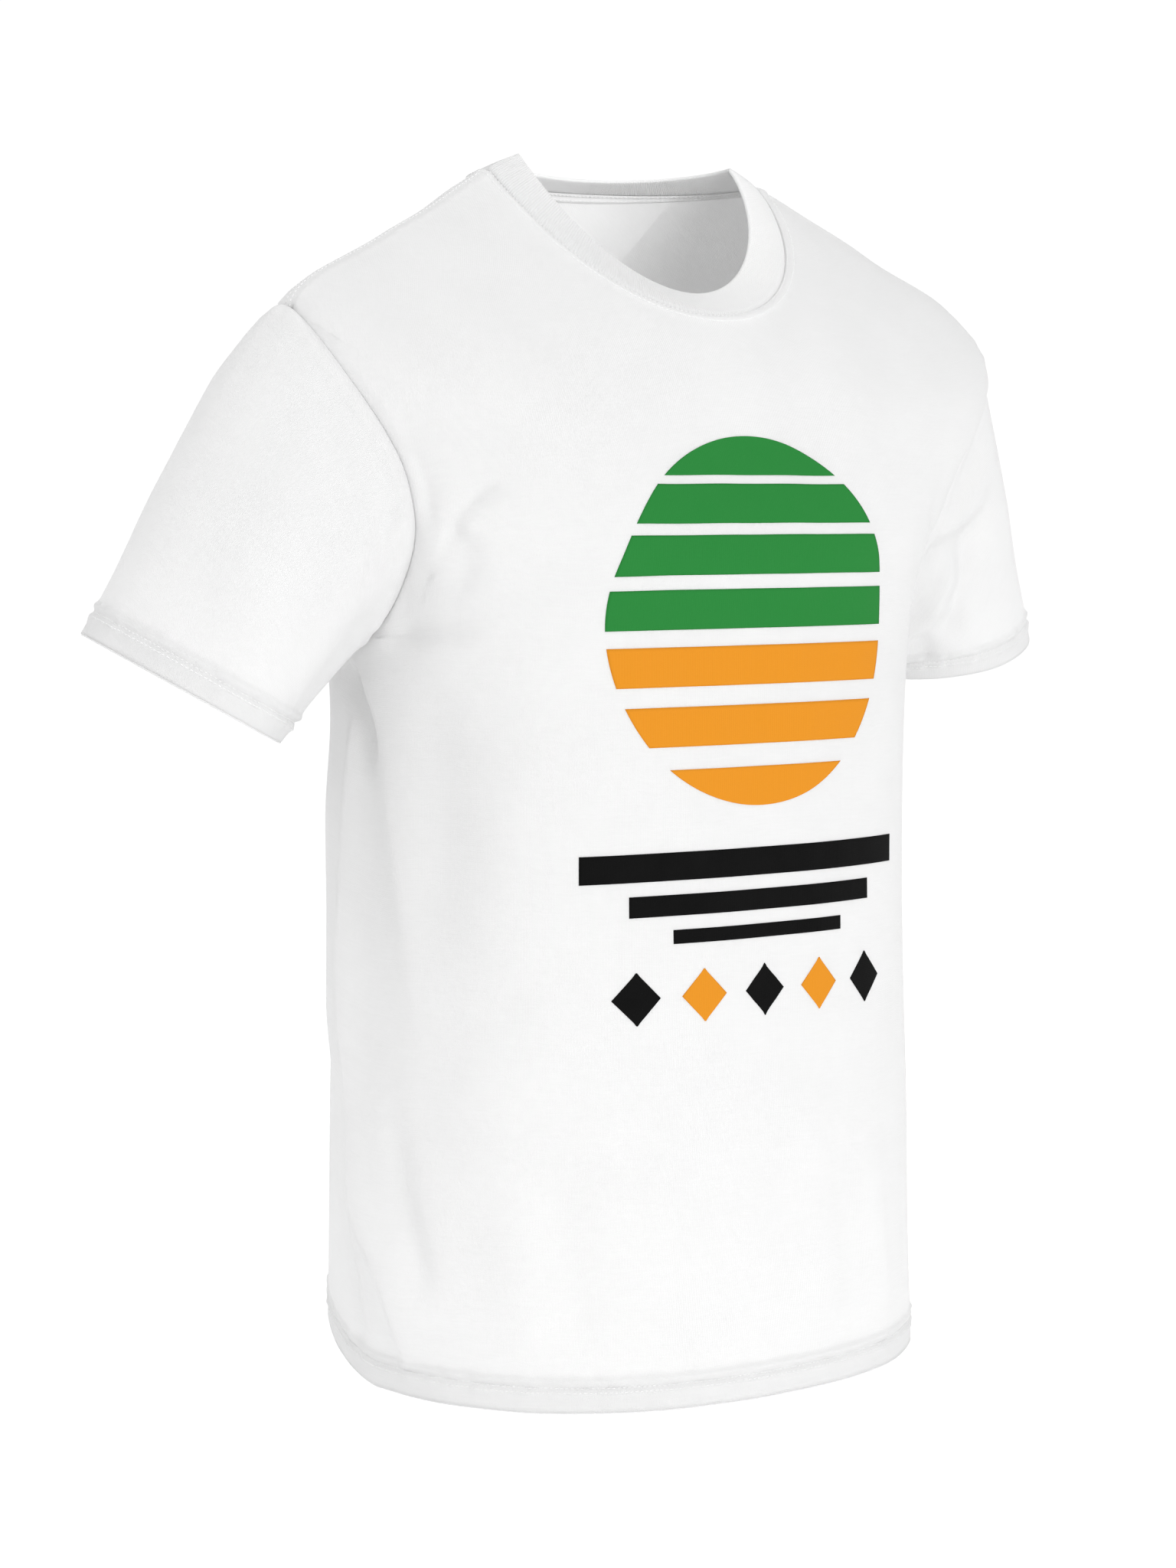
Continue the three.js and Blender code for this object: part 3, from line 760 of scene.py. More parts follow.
# Beside an armhole the rows of a panel crowd at its two ends, so that its curve stays smooth.
# Further in than this share of the columns they are evenly spread.
EDGE_SHARE = 0.24
EDGE_CROWDING = 0.85
CROWDED_STEPS = (1 - np.cos(math.pi * ARMHOLE_STEPS)) / 2
EDGE_STEPS = ARMHOLE_STEPS + EDGE_CROWDING * (CROWDED_STEPS - ARMHOLE_STEPS)
EDGE_LEVELS = np.concatenate([BODY_LEVELS, UNDERARM + EDGE_STEPS, SHOULDER_LEVELS])


# ---- The sheets, with their folds and seams ------------------------------------------------


def lay_folds(points, normals, folds, surface, strength):
    """The height of all the folds of a sheet, at each of its points."""
    flat_points = points.reshape(-1, 3)
    flat_normals = normals.reshape(-1, 3)
    total = np.zeros(len(flat_points))
    for stops, height, left, right in folds:
        stops = np.array(stops)
        line = smooth_line(surface(stops[:, 0], np.radians(stops[:, 1])))
        reach = 3 * max(left, right) * MILLIMETRE
        near = in_box_of(flat_points, line, reach)
        total[near] += fold_relief(
            flat_points[near], flat_normals[near], line,
            height * MILLIMETRE * strength, left * MILLIMETRE, right * MILLIMETRE,
        )
    return total.reshape(points.shape[:2])


def fade_at(points, line, reach):
    """0 on a seam, rising to 1 away from it."""
    near, distance, _ = near_line(points, line, 3 * reach)
    fade = np.ones(points.shape[:2])
    fade.reshape(-1)[near] = 1 - np.exp(-((distance / reach) ** 2))
    return fade


def relief_at(points, line, **seam):
    """The relief of a seam at each point of a sheet."""
    near, distance, share = near_line(points, line, SEAM_REACH)
    relief = np.zeros(points.shape[:2])
    relief.reshape(-1)[near] = seam_relief(distance, share, **seam)
    return relief


def draw_in(points, line, outward, depth, width):
    """How each point of a sheet moves where its edge is drawn in to a seam."""
    near, distance, share = near_line(points, line, SEAM_REACH)
    place = share * (len(line) - 1)
    i = np.minimum(place.astype(int), len(line) - 2)
    part = (place - i)[:, None]
    way = outward[i] * (1 - part) + outward[i + 1] * part
    moves = np.zeros(points.shape)
    moves.reshape(-1, 3)[near] = way * (-depth * np.exp(-((distance / width) ** 2)))[:, None]
    return moves


def armhole_line(side):
    return body_point(*armhole_place(ARMHOLE_TURNS)) * (side, 1, 1)


def armhole_outward(name):
    """The ways out of the cloth along an armhole, halfway between the body and the sleeve."""
    level, turn = armhole_place(ARMHOLE_TURNS)
    of_body = surface_normal(body_point, level, turn, 1, 0, NECK_SEAM)
    of_sleeve = surface_normal(
        lambda along, turn: sleeve_point(along, turn, name),
        np.zeros_like(ARMHOLE_TURNS), ARMHOLE_TURNS, -1, 0, 1,
    )
    return unit(of_body + of_sleeve)


def neck_line():
    return body_point(float(NECK_SEAM), NECK_TURNS)


def shoulder_line(side):
    return body_point(SHOULDER_LINE_LEVELS, 0.0) * (side, 1, 1)


def hem_line(height):
    """A line round the body, so far above its edge."""
    edge = body_point(0.0, HEM_TURNS)
    above = body_point(EDGE_STEP, HEM_TURNS)
    return edge + unit(above - edge) * height


def cuff_line(height, side):
    edge = sleeve_point(1.0, CUFF_TURNS, side)
    above = sleeve_point(1 - EDGE_STEP, CUFF_TURNS, side)
    return edge + unit(above - edge) * height


def hem_relief(points, line_at, ripples, seed):
    """Two rows of stitches drawn into a hem, and the puckered ridge that stands over them."""
    low, high = HEM_ROWS
    relief = relief_at(points, line_at(low), **LOW_HEM_ROW)
    return relief + relief_at(points, line_at(high), ripples=ripples, seed=seed, **HIGH_HEM_ROW)


def row_start(level, face):
    """The turn at which a row of a panel starts. The row's level is that at its middle."""
    return np.interp(level, PANEL_LEVELS, panel_edge(EDGE_LEVELS, face))


def body_panel(face, strength):
    """The front or the back of the body, with its folds and seams."""
    columns = crowded_ends(PANEL_COLUMNS[face], PANEL_CROWDING)
    inward = smoothstep(0, EDGE_SHARE, np.minimum(columns, 1 - columns))
    level_grid = EDGE_LEVELS[:, None] + (PANEL_LEVELS - EDGE_LEVELS)[:, None] * inward
    edge = row_start(PANEL_LEVELS, face)[:, None]
    start = 0 if face == "front" else math.pi
    turns = start + edge + (math.pi - 2 * edge) * columns
    points = body_point(level_grid, turns)
    normals = surface_normal(body_point, level_grid, turns, 1, 0, NECK_SEAM)
    height = lay_folds(points, normals, BODY_FOLDS, body_point, strength)
    height += strength * drape_waves(points, *BODY_WAVES, 1)
    for side in SLEEVE_SIDES.values():
        height *= fade_at(points, armhole_line(side), SEAM_FADE)
    height *= fade_at(points, neck_line(), SEAM_FADE)
    for side in SLEEVE_SIDES.values():
        height += relief_at(points, armhole_line(side), **BODY_ARMHOLE)
        height += relief_at(points, shoulder_line(side), **SHOULDER_SEAM)
    height += relief_at(points, neck_line(), **COLLAR_SEAM)
    height += hem_relief(points, hem_line, BODY_HEM_RIPPLES, 5)
    moved = points + normals * height[..., None]
    for name, side in SLEEVE_SIDES.items():
        outward = armhole_outward(name) * (side, 1, 1)
        moved = moved + draw_in(points, armhole_line(side), outward, SEAM_DEPTH, SEAM_WIDTH)
    sheet = Sheet(PANEL_LEVELS, columns, moved, normals)
    sheet.refresh_normals()
    return sheet


def sleeve_sheet(side, strength):
    """A sleeve with its folds and seams. The right one is made as a left one and mirrored."""
    columns = np.linspace(0, 1, SLEEVE_COLUMNS + 1)
    along, turn = np.meshgrid(SLEEVE_ROWS, 2 * math.pi * columns, indexing="ij")

    def surface(along, turn):
        return sleeve_point(along, turn, side)

    points = surface(along, turn)
    normals = surface_normal(surface, along, turn, -1, 0, 1)
    height = lay_folds(points, normals, SLEEVE_FOLDS[side], surface, strength)
    seed = 4 + SLEEVE_SIDES[side]
    height += strength * drape_waves(points, *SLEEVE_WAVES, seed)
    height *= fade_at(points, armhole_line(1), SEAM_FADE)
    height += relief_at(points, armhole_line(1), seed=seed + 4, **SLEEVE_ARMHOLE)
    height += hem_relief(points, lambda up: cuff_line(up, side), CUFF_RIPPLES, seed + 7)
    moved = points + normals * height[..., None]
    moved = moved + draw_in(points, armhole_line(1), armhole_outward(side), SEAM_DEPTH, SEAM_WIDTH)
    sheet = Sheet(SLEEVE_ROWS, columns, moved, normals, True)
    sheet.refresh_normals()
    return sheet if side == "left" else sheet.mirrored()


SHEETS = {}


def sheets():
    """The four sheets of the shirt, worked out once."""
    if not SHEETS:
        strength = bpy.context.scene.shirt_cloth.fold_strength
        SHEETS["front"] = body_panel("front", strength)
        SHEETS["back"] = body_panel("back", strength)
        for side in SLEEVE_SIDES:
            SHEETS[side] = sleeve_sheet(side, strength)
    return SHEETS


# ---- Meshes --------------------------------------------------------------------------------


def lean(points):
    leaning = np.array(points, float)
    leaning[..., 2] += SIDE_LEAN * leaning[..., 0]
    return leaning


def grid_ids(sheet):
    rows, columns = sheet.points.shape[:2]
    return np.arange(rows * columns).reshape(rows, columns)


def grid_quads(ids):
    corners = (ids[:-1, :-1], ids[:-1, 1:], ids[1:, 1:], ids[1:, :-1])
    return np.stack(corners, axis=-1).reshape(-1, 4)


def grid_corners(grid):
    """The values of a grid at the four corners of each of its quads."""
    corners = (grid[:-1, :-1], grid[:-1, 1:], grid[1:, 1:], grid[1:, :-1])
    return np.stack(corners, axis=2).reshape(-1, 4, grid.shape[-1])


def facing_out(points, quads, normals, corners):
    """Turns the quads and their corners round if they face against the normals."""
    across = points[quads[:, 2]] - points[quads[:, 0]]
    up = points[quads[:, 3]] - points[quads[:, 1]]
    if (np.cross(across, up) * normals[quads[:, 0]]).sum() < 0:
        return quads[:, ::-1], corners[:, ::-1]
    return quads, corners


def add_piece(name, points, quads, material, corners):
    """A mesh object at the origin. The corners' places on the cloth become its UV map."""
    mesh = bpy.data.meshes.new(name)
    mesh.from_pydata(lean(points).tolist(), [], quads.tolist())
    mesh.materials.append(material)
    mesh.shade_smooth()
    layer = mesh.uv_layers.new(name=CLOTH_MAP)
    layer.uv.foreach_set("vector", corners.astype(np.float32).ravel())
    mesh.update()
    piece = bpy.data.objects.new(name, mesh)
    bpy.context.scene.collection.objects.link(piece)
    return piece


def thicken(piece, thickness, offset=-1.0):
    modifier = piece.modifiers.new("Thickness", "SOLIDIFY")
    modifier.thickness = thickness
    modifier.offset = offset
    modifier.use_even_offset = True
    modifier.use_rim = True


def dress(piece, slot, *nodes):
    """Makes a piece ride on the shirt, and stand for the CAD nodes it covers."""
    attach(piece, BODY)
    if nodes:
        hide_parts(*nodes)


def cloth_map(sheet):
    """Places on the cloth, in metres: across from its middle column, and up from its edge."""
    across = sheet.lengths(1)
    middle = len(sheet.columns) // 2
    across = across - across[:, middle:middle + 1]
    return np.stack([across, sheet.lengths(0)], axis=-1)


def add_grid(name, sheet, material):
    """A sheet as it stands, with its own cloth map. A ring is closed without a seam."""
    ids = grid_ids(sheet)
    if sheet.is_ring:
        ids[:, -1] = ids[:, 0]
    used, quads = np.unique(grid_quads(ids), return_inverse=True)
    quads = quads.reshape(-1, 4)
    points = sheet.points.reshape(-1, 3)[used]
    normals = sheet.normals.reshape(-1, 3)[used]
    corners = grid_corners(cloth_map(sheet))
    quads, corners = facing_out(points, quads, normals, corners)
    return add_piece(name, points, quads, material, corners)


# ---- Materials -----------------------------------------------------------------------------


def plug(tree, socket, value):
    """Joins an output to a socket, or sets the socket to a constant."""
    if isinstance(value, bpy.types.NodeSocket):
        tree.links.new(value, socket)
    else:
        socket.default_value = value


def add_node(tree, kind, inputs, settings):
    node = tree.nodes.new(kind)
    for name, value in settings.items():
        setattr(node, name, value)
    for key, value in dict(inputs).items():
        plug(tree, node.inputs[key], value)
    return node


class NodeMaker:
    """Adds nodes to a tree one after another, and joins them."""

    def add(self, kind, inputs=(), output=0, **settings):
        return add_node(self.tree, kind, inputs, settings).outputs[output]

    def math(self, operation, *values):
        return self.add("ShaderNodeMath", enumerate(values), operation=operation)


class Nodes(NodeMaker):
    """The shader nodes of a material."""

    def __init__(self, name):
        self.material = bpy.data.materials.new(name)
        self.material.use_nodes = True
        self.tree = self.material.node_tree
        self.shader = self.tree.nodes["Principled BSDF"]
        self.here = self.add("ShaderNodeTexCoord", output="Object")

    def noise(self, scale, detail, place=None):
        """Noise that is fixed to the piece, or to another place that is given."""
        vector = self.here if place is None else place
        return self.add("ShaderNodeTexNoise", {"Vector": vector, "Scale": scale, "Detail": detail})

    def bump(self, height, strength, distance, under=None):
        inputs = {"Height": height, "Strength": strength, "Distance": distance}
        if under is not None:
            inputs["Normal"] = under
        return self.add("ShaderNodeBump", inputs)

    def blend(self, share, low, high):
        inputs = {0: share, 6: low, 7: high}
        return self.add("ShaderNodeMix", inputs, 2, data_type="RGBA")

    def let_light_through(self, share, colour):
        """Lets a share of the light through the cloth, to glow on its other side."""
        glow = self.add("ShaderNodeBsdfTranslucent", {"Color": colour})
        both = self.add("ShaderNodeMixShader", {0: share, 1: self.shader.outputs[0], 2: glow})
        plug(self.tree, self.tree.nodes["Material Output"].inputs["Surface"], both)

    def feed(self, **values):
        """Sets the shader's inputs, with _ for each space in their names."""
        for name, value in values.items():
            plug(self.tree, self.shader.inputs[name.replace("_", " ")], value)


def opaque(colour, factor=1):
    return [*(channel * factor for channel in colour[:3]), 1]


def cloth_place(nodes):
    """The place of a point on the cloth, then how far across and how far up that is."""
    place = nodes.add("ShaderNodeUVMap", uv_map=CLOTH_MAP)
    split = add_node(nodes.tree, "ShaderNodeSeparateXYZ", {0: place}, {})
    return place, split.outputs[0], split.outputs[1]


def knit_height(nodes, across, up, wale, course):
    """Plain knit: columns of stitches, each a small V that leans in to its column's middle."""
    cell = nodes.math("DIVIDE", across, wale)
    off_middle = nodes.math("ABSOLUTE", nodes.math("SUBTRACT", nodes.math("FRACT", cell), 0.5))
    column = nodes.math("COSINE", nodes.math("MULTIPLY", off_middle, 2 * math.pi))
    lifted = nodes.math("SUBTRACT", nodes.math("DIVIDE", up, course), off_middle)
    loop = nodes.math("SINE", nodes.math("MULTIPLY", lifted, 2 * math.pi))
    return nodes.math("ADD", column, nodes.math("MULTIPLY", loop, 0.6))


def knit_material(name, colour, wale, course, relief, tone, sheer):
    """Cotton knit, with fuzz and the faint streaks of uneven yarn."""
    nodes = Nodes(name)
    place, across, up = cloth_place(nodes)
    stretched = nodes.add("ShaderNodeMapping", {"Vector": place, "Scale": (45, 900, 1)})
    streaks = nodes.noise(scale=1, detail=3, place=stretched)
    fuzz = nodes.noise(scale=1400, detail=2)
    cloud = nodes.noise(scale=22, detail=3)
    knit = knit_height(nodes, across, up, wale, course)
    loops = nodes.bump(knit, strength=0.4, distance=relief)
    uneven = nodes.bump(streaks, strength=0.25, distance=0.0005, under=loops)
    shade = nodes.math("MULTIPLY", nodes.math("SUBTRACT", cloud, 0.5), tone)
    streak = nodes.math("MULTIPLY", nodes.math("SUBTRACT", streaks, 0.5), tone)
    share = nodes.math("ADD", nodes.math("ADD", shade, streak), 0.5)
    nodes.feed(
        Base_Color=nodes.blend(share, opaque(colour, 0.94), opaque(colour)),
        Roughness=nodes.math("ADD", nodes.math("MULTIPLY", fuzz, 0.12), 0.84),
        Normal=nodes.bump(fuzz, strength=0.2, distance=0.0003, under=uneven),
        Specular_IOR_Level=0.2, Sheen_Weight=0.15, Sheen_Roughness=0.5,
    )
    nodes.let_light_through(sheer, opaque(colour))
    return nodes.material


def tape_material(name, colour, pitch):
    """Herringbone tape: slanting ribs that turn back at each column, with painted shade in the
    grooves between them.
    """
    nodes = Nodes(name)
    _, across, up = cloth_place(nodes)
    column = nodes.math("PINGPONG", across, 2.5 * pitch)
    slant = nodes.math("DIVIDE", nodes.math("ADD", up, column), pitch)
    ribs = nodes.math("SINE", nodes.math("MULTIPLY", slant, 2 * math.pi))
    woven = nodes.bump(ribs, strength=0.6, distance=0.0003)
    fuzz = nodes.noise(scale=1200, detail=2)
    # The colour follows the ribs: painted shade, darker in the grooves between them.
    share = nodes.math("ADD", nodes.math("MULTIPLY", ribs, 0.3), 0.6)
    nodes.feed(
        Base_Color=nodes.blend(share, opaque(colour, 0.93), opaque(colour)),
        Roughness=0.85,
        Normal=nodes.bump(fuzz, strength=0.3, distance=0.0003, under=woven),
        Specular_IOR_Level=0.2,
    )
    return nodes.material


def thread_material(name, colour):
    """Spun thread, twisted along its length."""
    nodes = Nodes(name)
    twist = nodes.noise(scale=2600, detail=2)
    nodes.feed(
        Base_Color=nodes.blend(twist, opaque(colour, 0.9), opaque(colour)),
        Roughness=0.7,
        Normal=nodes.bump(twist, strength=0.5, distance=0.0002),
        Specular_IOR_Level=0.3,
    )
    return nodes.material


def ink_material(name, colour, wale, course):
    """Ink pressed into knit: the loops show through it, and it has worn a little thin."""
    nodes = Nodes(name)
    _, across, up = cloth_place(nodes)
    grain = nodes.noise(scale=900, detail=4)
    cloud = nodes.noise(scale=60, detail=3)
    knit = knit_height(nodes, across, up, wale, course)
    loops = nodes.bump(knit, strength=0.4, distance=0.0001)
    paler = [channel + (1 - channel) * 0.006 for channel in colour]
    mottle = nodes.math("MULTIPLY", nodes.math("ADD", grain, cloud), 0.5)
    nodes.feed(
        Base_Color=nodes.blend(mottle, opaque(colour), opaque(paler)),
        Roughness=nodes.math("ADD", nodes.math("MULTIPLY", grain, 0.2), 0.6),
        Normal=nodes.bump(grain, strength=0.3, distance=0.0002, under=loops),
        Specular_IOR_Level=0.05,
    )
    return nodes.material


def floor_material(name):
    """Pale, with faint clouds, and bright enough to melt into the backdrop."""
    nodes = Nodes(name)
    cloud = nodes.noise(scale=3, detail=2)
    nodes.feed(
        Base_Color=nodes.blend(cloud, opaque((0.9, 0.9, 0.9)), opaque((0.93, 0.93, 0.93))),
        Roughness=0.9,
        Emission_Color=opaque((1, 1, 1)),
        Emission_Strength=FLOOR_GLOW,
    )
    return nodes.material


MATERIALS = {}


def material(key):
    """The shirt's materials, each made when it is first wanted."""
    if key not in MATERIALS:
        cloth = bpy.context.scene.shirt_cloth
        ink = bpy.context.scene.shirt_print
        white = cloth.jersey_colour
        knit = (cloth.wale_pitch, cloth.course_pitch)
        makers = {
            "jersey": lambda: knit_material("jersey_knit", white, *knit, **JERSEY_LOOK),
            "rib": lambda: knit_material("rib_knit", cloth.rib_colour, *knit, **RIB_LOOK),
            "tape": lambda: tape_material("herringbone_tape", cloth.rib_colour, TAPE_RIB_PITCH),
            "thread": lambda: thread_material("white_thread", white),
            "green_ink": lambda: ink_material("green_ink", ink.green, *knit),
            "orange_ink": lambda: ink_material("orange_ink", ink.orange, *knit),
            "black_ink": lambda: ink_material("black_ink", ink.black, *knit),
        }
        MATERIALS[key] = makers[key]()
    return MATERIALS[key]


# ---- Geometry Nodes ------------------------------------------------------------------------


class Tree(NodeMaker):
    """A Geometry Nodes tree with named inputs."""

    def __init__(self, name, inputs):
        self.tree = bpy.data.node_groups.new(name, "GeometryNodeTree")
        self.tree.is_modifier = True
        sockets = self.tree.interface
        sockets.new_socket("Geometry", in_out="INPUT", socket_type="NodeSocketGeometry")
        for label, kind in inputs.items():
            sockets.new_socket(label, in_out="INPUT", socket_type=f"NodeSocket{kind}")
        sockets.new_socket("Geometry", in_out="OUTPUT", socket_type="NodeSocketGeometry")
        self.source = self.tree.nodes.new("NodeGroupInput").outputs

    def attribute(self, name, data_type):
        return self.add("GeometryNodeInputNamedAttribute", {"Name": name}, data_type=data_type)

    def finish(self, geometry, finish):
        """Every tree ends as real faces with a material."""
        whole = self.add("GeometryNodeRealizeInstances", {0: geometry})
        smooth = self.add("GeometryNodeSetShadeSmooth", {0: whole})
        painted = self.add("GeometryNodeSetMaterial", {0: smooth, "Material": finish})
        output = self.tree.nodes.new("NodeGroupOutput")
        self.tree.links.new(painted, output.inputs[0])
        return self.tree


def stitch_tree():
    """Lays a stitch at even steps along lines, flat on the cloth they follow."""
    tree = Tree("stitch_rows", {
        "Pitch": "Float", "Length": "Float", "Width": "Float", "Unevenness": "Float",
        "Seed": "Int", "Thread": "Material",
    })
    source = tree.source
    curve = tree.add("GeometryNodeMeshToCurve", {0: source["Geometry"]})
    evenly = tree.add(
        "GeometryNodeResampleCurve", {"Curve": curve, "Length": source["Pitch"]}, mode="LENGTH",
    )
    ball = tree.add("GeometryNodeMeshUVSphere", {"Segments": 6, "Rings": 5, "Radius": 0.5})
    size = tree.add("ShaderNodeCombineXYZ", {
        0: source["Length"], 1: source["Width"], 2: source["Width"],
    })
    stitch = tree.add("GeometryNodeTransform", {"Geometry": ball, "Scale": size})
    turned = tree.add(
        "FunctionNodeAxesToRotation",
        {0: tree.add("GeometryNodeInputTangent"), 1: tree.attribute("outward", "FLOAT_VECTOR")},
        primary_axis="X", secondary_axis="Z",
    )
    lowest = tree.math("SUBTRACT", 1.0, source["Unevenness"])
    uneven = tree.add(
        "FunctionNodeRandomValue", {2: lowest, 3: 1.0, "Seed": source["Seed"]}, 1, data_type="FLOAT",
    )
    rows = tree.add("GeometryNodeInstanceOnPoints", {
        "Points": evenly, "Instance": stitch, "Rotation": turned, "Scale": uneven,
    })
    return tree.finish(rows, source["Thread"])


def rib_tree():
    """Raises and lowers a ring of cloth in even ribs that run across it."""
    tree = Tree("rib_knit", {"Ribs": "Int", "Depth": "Float", "Cloth": "Material"})
    source = tree.source
    place = tree.math("MULTIPLY", tree.attribute("round", "FLOAT"), source["Ribs"])
    wave = tree.math("COSINE", tree.math("MULTIPLY", place, 2 * math.pi))
    height = tree.math("MULTIPLY", wave, source["Depth"])
    offset = tree.add(
        "ShaderNodeVectorMath", {0: tree.add("GeometryNodeInputNormal"), "Scale": height},
        operation="SCALE",
    )
    ribbed = tree.add("GeometryNodeSetPosition", {0: source["Geometry"], "Offset": offset})
    return tree.finish(ribbed, source["Cloth"])


TREES = {}


def grow(piece, name, maker, **values):
    """Runs a Geometry Nodes tree on a piece, and keeps the result as its plain mesh."""
    if name not in TREES:
        TREES[name] = maker()
    tree = TREES[name]
    modifier = piece.modifiers.new(name, "NODES")
    modifier.node_group = tree
    for item in tree.interface.items_tree:
        key = item.name.lower()
        if item.in_out == "INPUT" and key in values:
            modifier[item.identifier] = values[key]
    evaluated = piece.evaluated_get(bpy.context.evaluated_depsgraph_get())
    mesh = bpy.data.meshes.new_from_object(evaluated)
    piece.modifiers.clear()
    old = piece.data
    piece.data = mesh
    bpy.data.meshes.remove(old)
    mesh.name = piece.name
    if not mesh.polygons:
        raise RuntimeError(f"{piece.name} came out with no faces")


# ---- Lines and bands that follow the sheets ------------------------------------------------


def rows_at(sheet, distance, from_last=False):
    """For each column, the row that lies so far from the sheet's first or last row."""
    lengths = sheet.lengths(0)
    if from_last:
        return np.array([
            np.interp(distance, (column[-1] - column)[::-1], sheet.rows[::-1])
            for column in lengths.T
        ])
    return np.array([np.interp(distance, column, sheet.rows) for column in lengths.T])


def body_ring(distance, from_neck=False):
    """Points and normals all round the body, so far from its hem or from its neck seam."""
    parts = []
    for face in ("front", "back"):
        sheet = sheets()[face]
        found = sheet.at(rows_at(sheet, distance, from_neck), sheet.columns)
        parts.append([grid[:-1] for grid in found])
    return np.concatenate([parts[0][0], parts[1][0]]), np.concatenate([parts[0][1], parts[1][1]])


def back_neck(distance):
    """Points and normals across the back, so far below the neck seam."""
    sheet = sheets()["back"]
    points, normals = sheet.at(rows_at(sheet, distance, True), sheet.columns)
    return points[TAPE_MARGIN:-TAPE_MARGIN], normals[TAPE_MARGIN:-TAPE_MARGIN]


def cuff_ring(name, distance):
    sheet = sheets()[name]
    points, normals = sheet.at(rows_at(sheet, distance, True), sheet.columns)
    return points[:-1], normals[:-1]


def shoulder_row(name, face, distance):
    """A line beside a shoulder seam, from the sleeve up to the collar."""
    sheet = sheets()[face]
    at_first = (face == "front") == (name == "left")
    rows = np.interp(SHOULDER_ROW_LEVELS, sheet.rows, np.arange(len(sheet.rows)))
    lengths = sheet.lengths(1)
    columns = []
    for row in rows.astype(int):
        line = lengths[row] if at_first else (lengths[row][-1] - lengths[row])[::-1]
        values = sheet.columns if at_first else sheet.columns[::-1]
        columns.append(np.interp(distance, line, values))
    return sheet.at(SHOULDER_ROW_LEVELS, np.array(columns))


def add_band(name, rings, key, closed, thickness):
    """A band of cloth through rows of points, which are the middle of its thickness."""
    points = np.stack([ring[0] for ring in rings])
    normals = np.stack([ring[1] for ring in rings])
    if closed:
        points = np.concatenate([points, points[:, :1]], axis=1)
        normals = np.concatenate([normals, normals[:, :1]], axis=1)
    rows, columns = points.shape[:2]
    sheet = Sheet(np.arange(rows), np.linspace(0, 1, columns), points, normals, closed)
    piece = add_grid(name, sheet, material(key))
    thicken(piece, thickness, 0.0)
    return piece


def turned_up(ring_at_height, height, thickness, gap):
    """The rows of a hem that folds under at the edge and comes up inside the cloth."""
    edge, outward = ring_at_height(0.0)
    above, _ = ring_at_height(HEM_STEP)
    up = unit(above - edge)
    radius = (thickness + gap) / 2
    middle = edge - outward * (thickness / 2 + radius)
    rings = []
    for angle in np.linspace(0, math.pi, FOLD_ROWS):
        point = middle + outward * radius * math.cos(angle) - up * radius * math.sin(angle)
        rings.append((point, outward * math.cos(angle) - up * math.sin(angle)))
    for part in HEM_PARTS:
        point, normal = ring_at_height(height * part)
        rings.append((point - normal * (thickness / 2 + 2 * radius), -normal))
    return rings


def add_stitches(name, lines, seed):
    """Rows of stitches. Each line is its points, its normals and whether it closes."""
    cloth = bpy.context.scene.shirt_cloth
    points = []
    outward = []
    edges = []
    for line, normals, closed in lines:
        first = len(points)
        points += (line + normals * cloth.thread_width * THREAD_RISE).tolist()
        outward += normals.tolist()
        edges += [(first + i, first + i + 1) for i in range(len(line) - 1)]
        if closed:
            edges.append((first + len(line) - 1, first))
    mesh = bpy.data.meshes.new(name)
    mesh.from_pydata(lean(points).tolist(), edges, [])
    layer = mesh.attributes.new("outward", "FLOAT_VECTOR", "POINT")
    layer.data.foreach_set("vector", np.array(outward, np.float32).ravel())
    piece = bpy.data.objects.new(name, mesh)
    bpy.context.scene.collection.objects.link(piece)
    grow(
        piece, "stitch_rows", stitch_tree, pitch=cloth.stitch_pitch, length=cloth.stitch_length,
        width=cloth.thread_width, unevenness=THREAD_UNEVENNESS, seed=seed,
        thread=material("thread"),
    )
    dress(piece, "jersey")


# ---- Operators, one for each piece or group of like pieces ---------------------------------


class SHIRT_OT_body(bpy.types.Operator):
    """Makes the body of the shirt, as one tube of cloth with two armholes"""

    bl_idname = "shirt.body"
    bl_label = "Body"

    def execute(self, context):
        front = sheets()["front"]
        back = sheets()["back"]
        front_ids = grid_ids(front)
        back_ids = grid_ids(back) + front_ids.size
        joined = (PANEL_LEVELS <= UNDERARM) | (PANEL_LEVELS >= SHOULDER_TIP)
        back_ids[joined, 0] = front_ids[joined, -1]
        back_ids[joined, -1] = front_ids[joined, 0]
        quads = np.concatenate([grid_quads(front_ids), grid_quads(back_ids)])
        used, quads = np.unique(quads, return_inverse=True)
        quads = quads.reshape(-1, 4)
        panels = (front, back)
        points = np.concatenate([sheet.points.reshape(-1, 3) for sheet in panels])[used]
        normals = np.concatenate([sheet.normals.reshape(-1, 3) for sheet in panels])[used]
        maps = [grid_corners(cloth_map(sheet)) for sheet in panels]
        quads, corners = facing_out(points, quads, normals, np.concatenate(maps))
        piece = add_piece("body", points, quads, material("jersey"), corners)
        thicken(piece, context.scene.shirt_cloth.thickness)
        dress(piece, "jersey", "front_panel", "back_panel")
        return {"FINISHED"}


class SHIRT_OT_sleeves(bpy.types.Operator):
    """Makes the two short sleeves"""

    bl_idname = "shirt.sleeves"
    bl_label = "Sleeves"

    def execute(self, context):
        for name in SLEEVE_SIDES:
            piece = add_grid(f"sleeve_{name}", sheets()[name], material("jersey"))
            thicken(piece, context.scene.shirt_cloth.thickness)
            dress(piece, "jersey", f"{name}_sleeve")
        return {"FINISHED"}


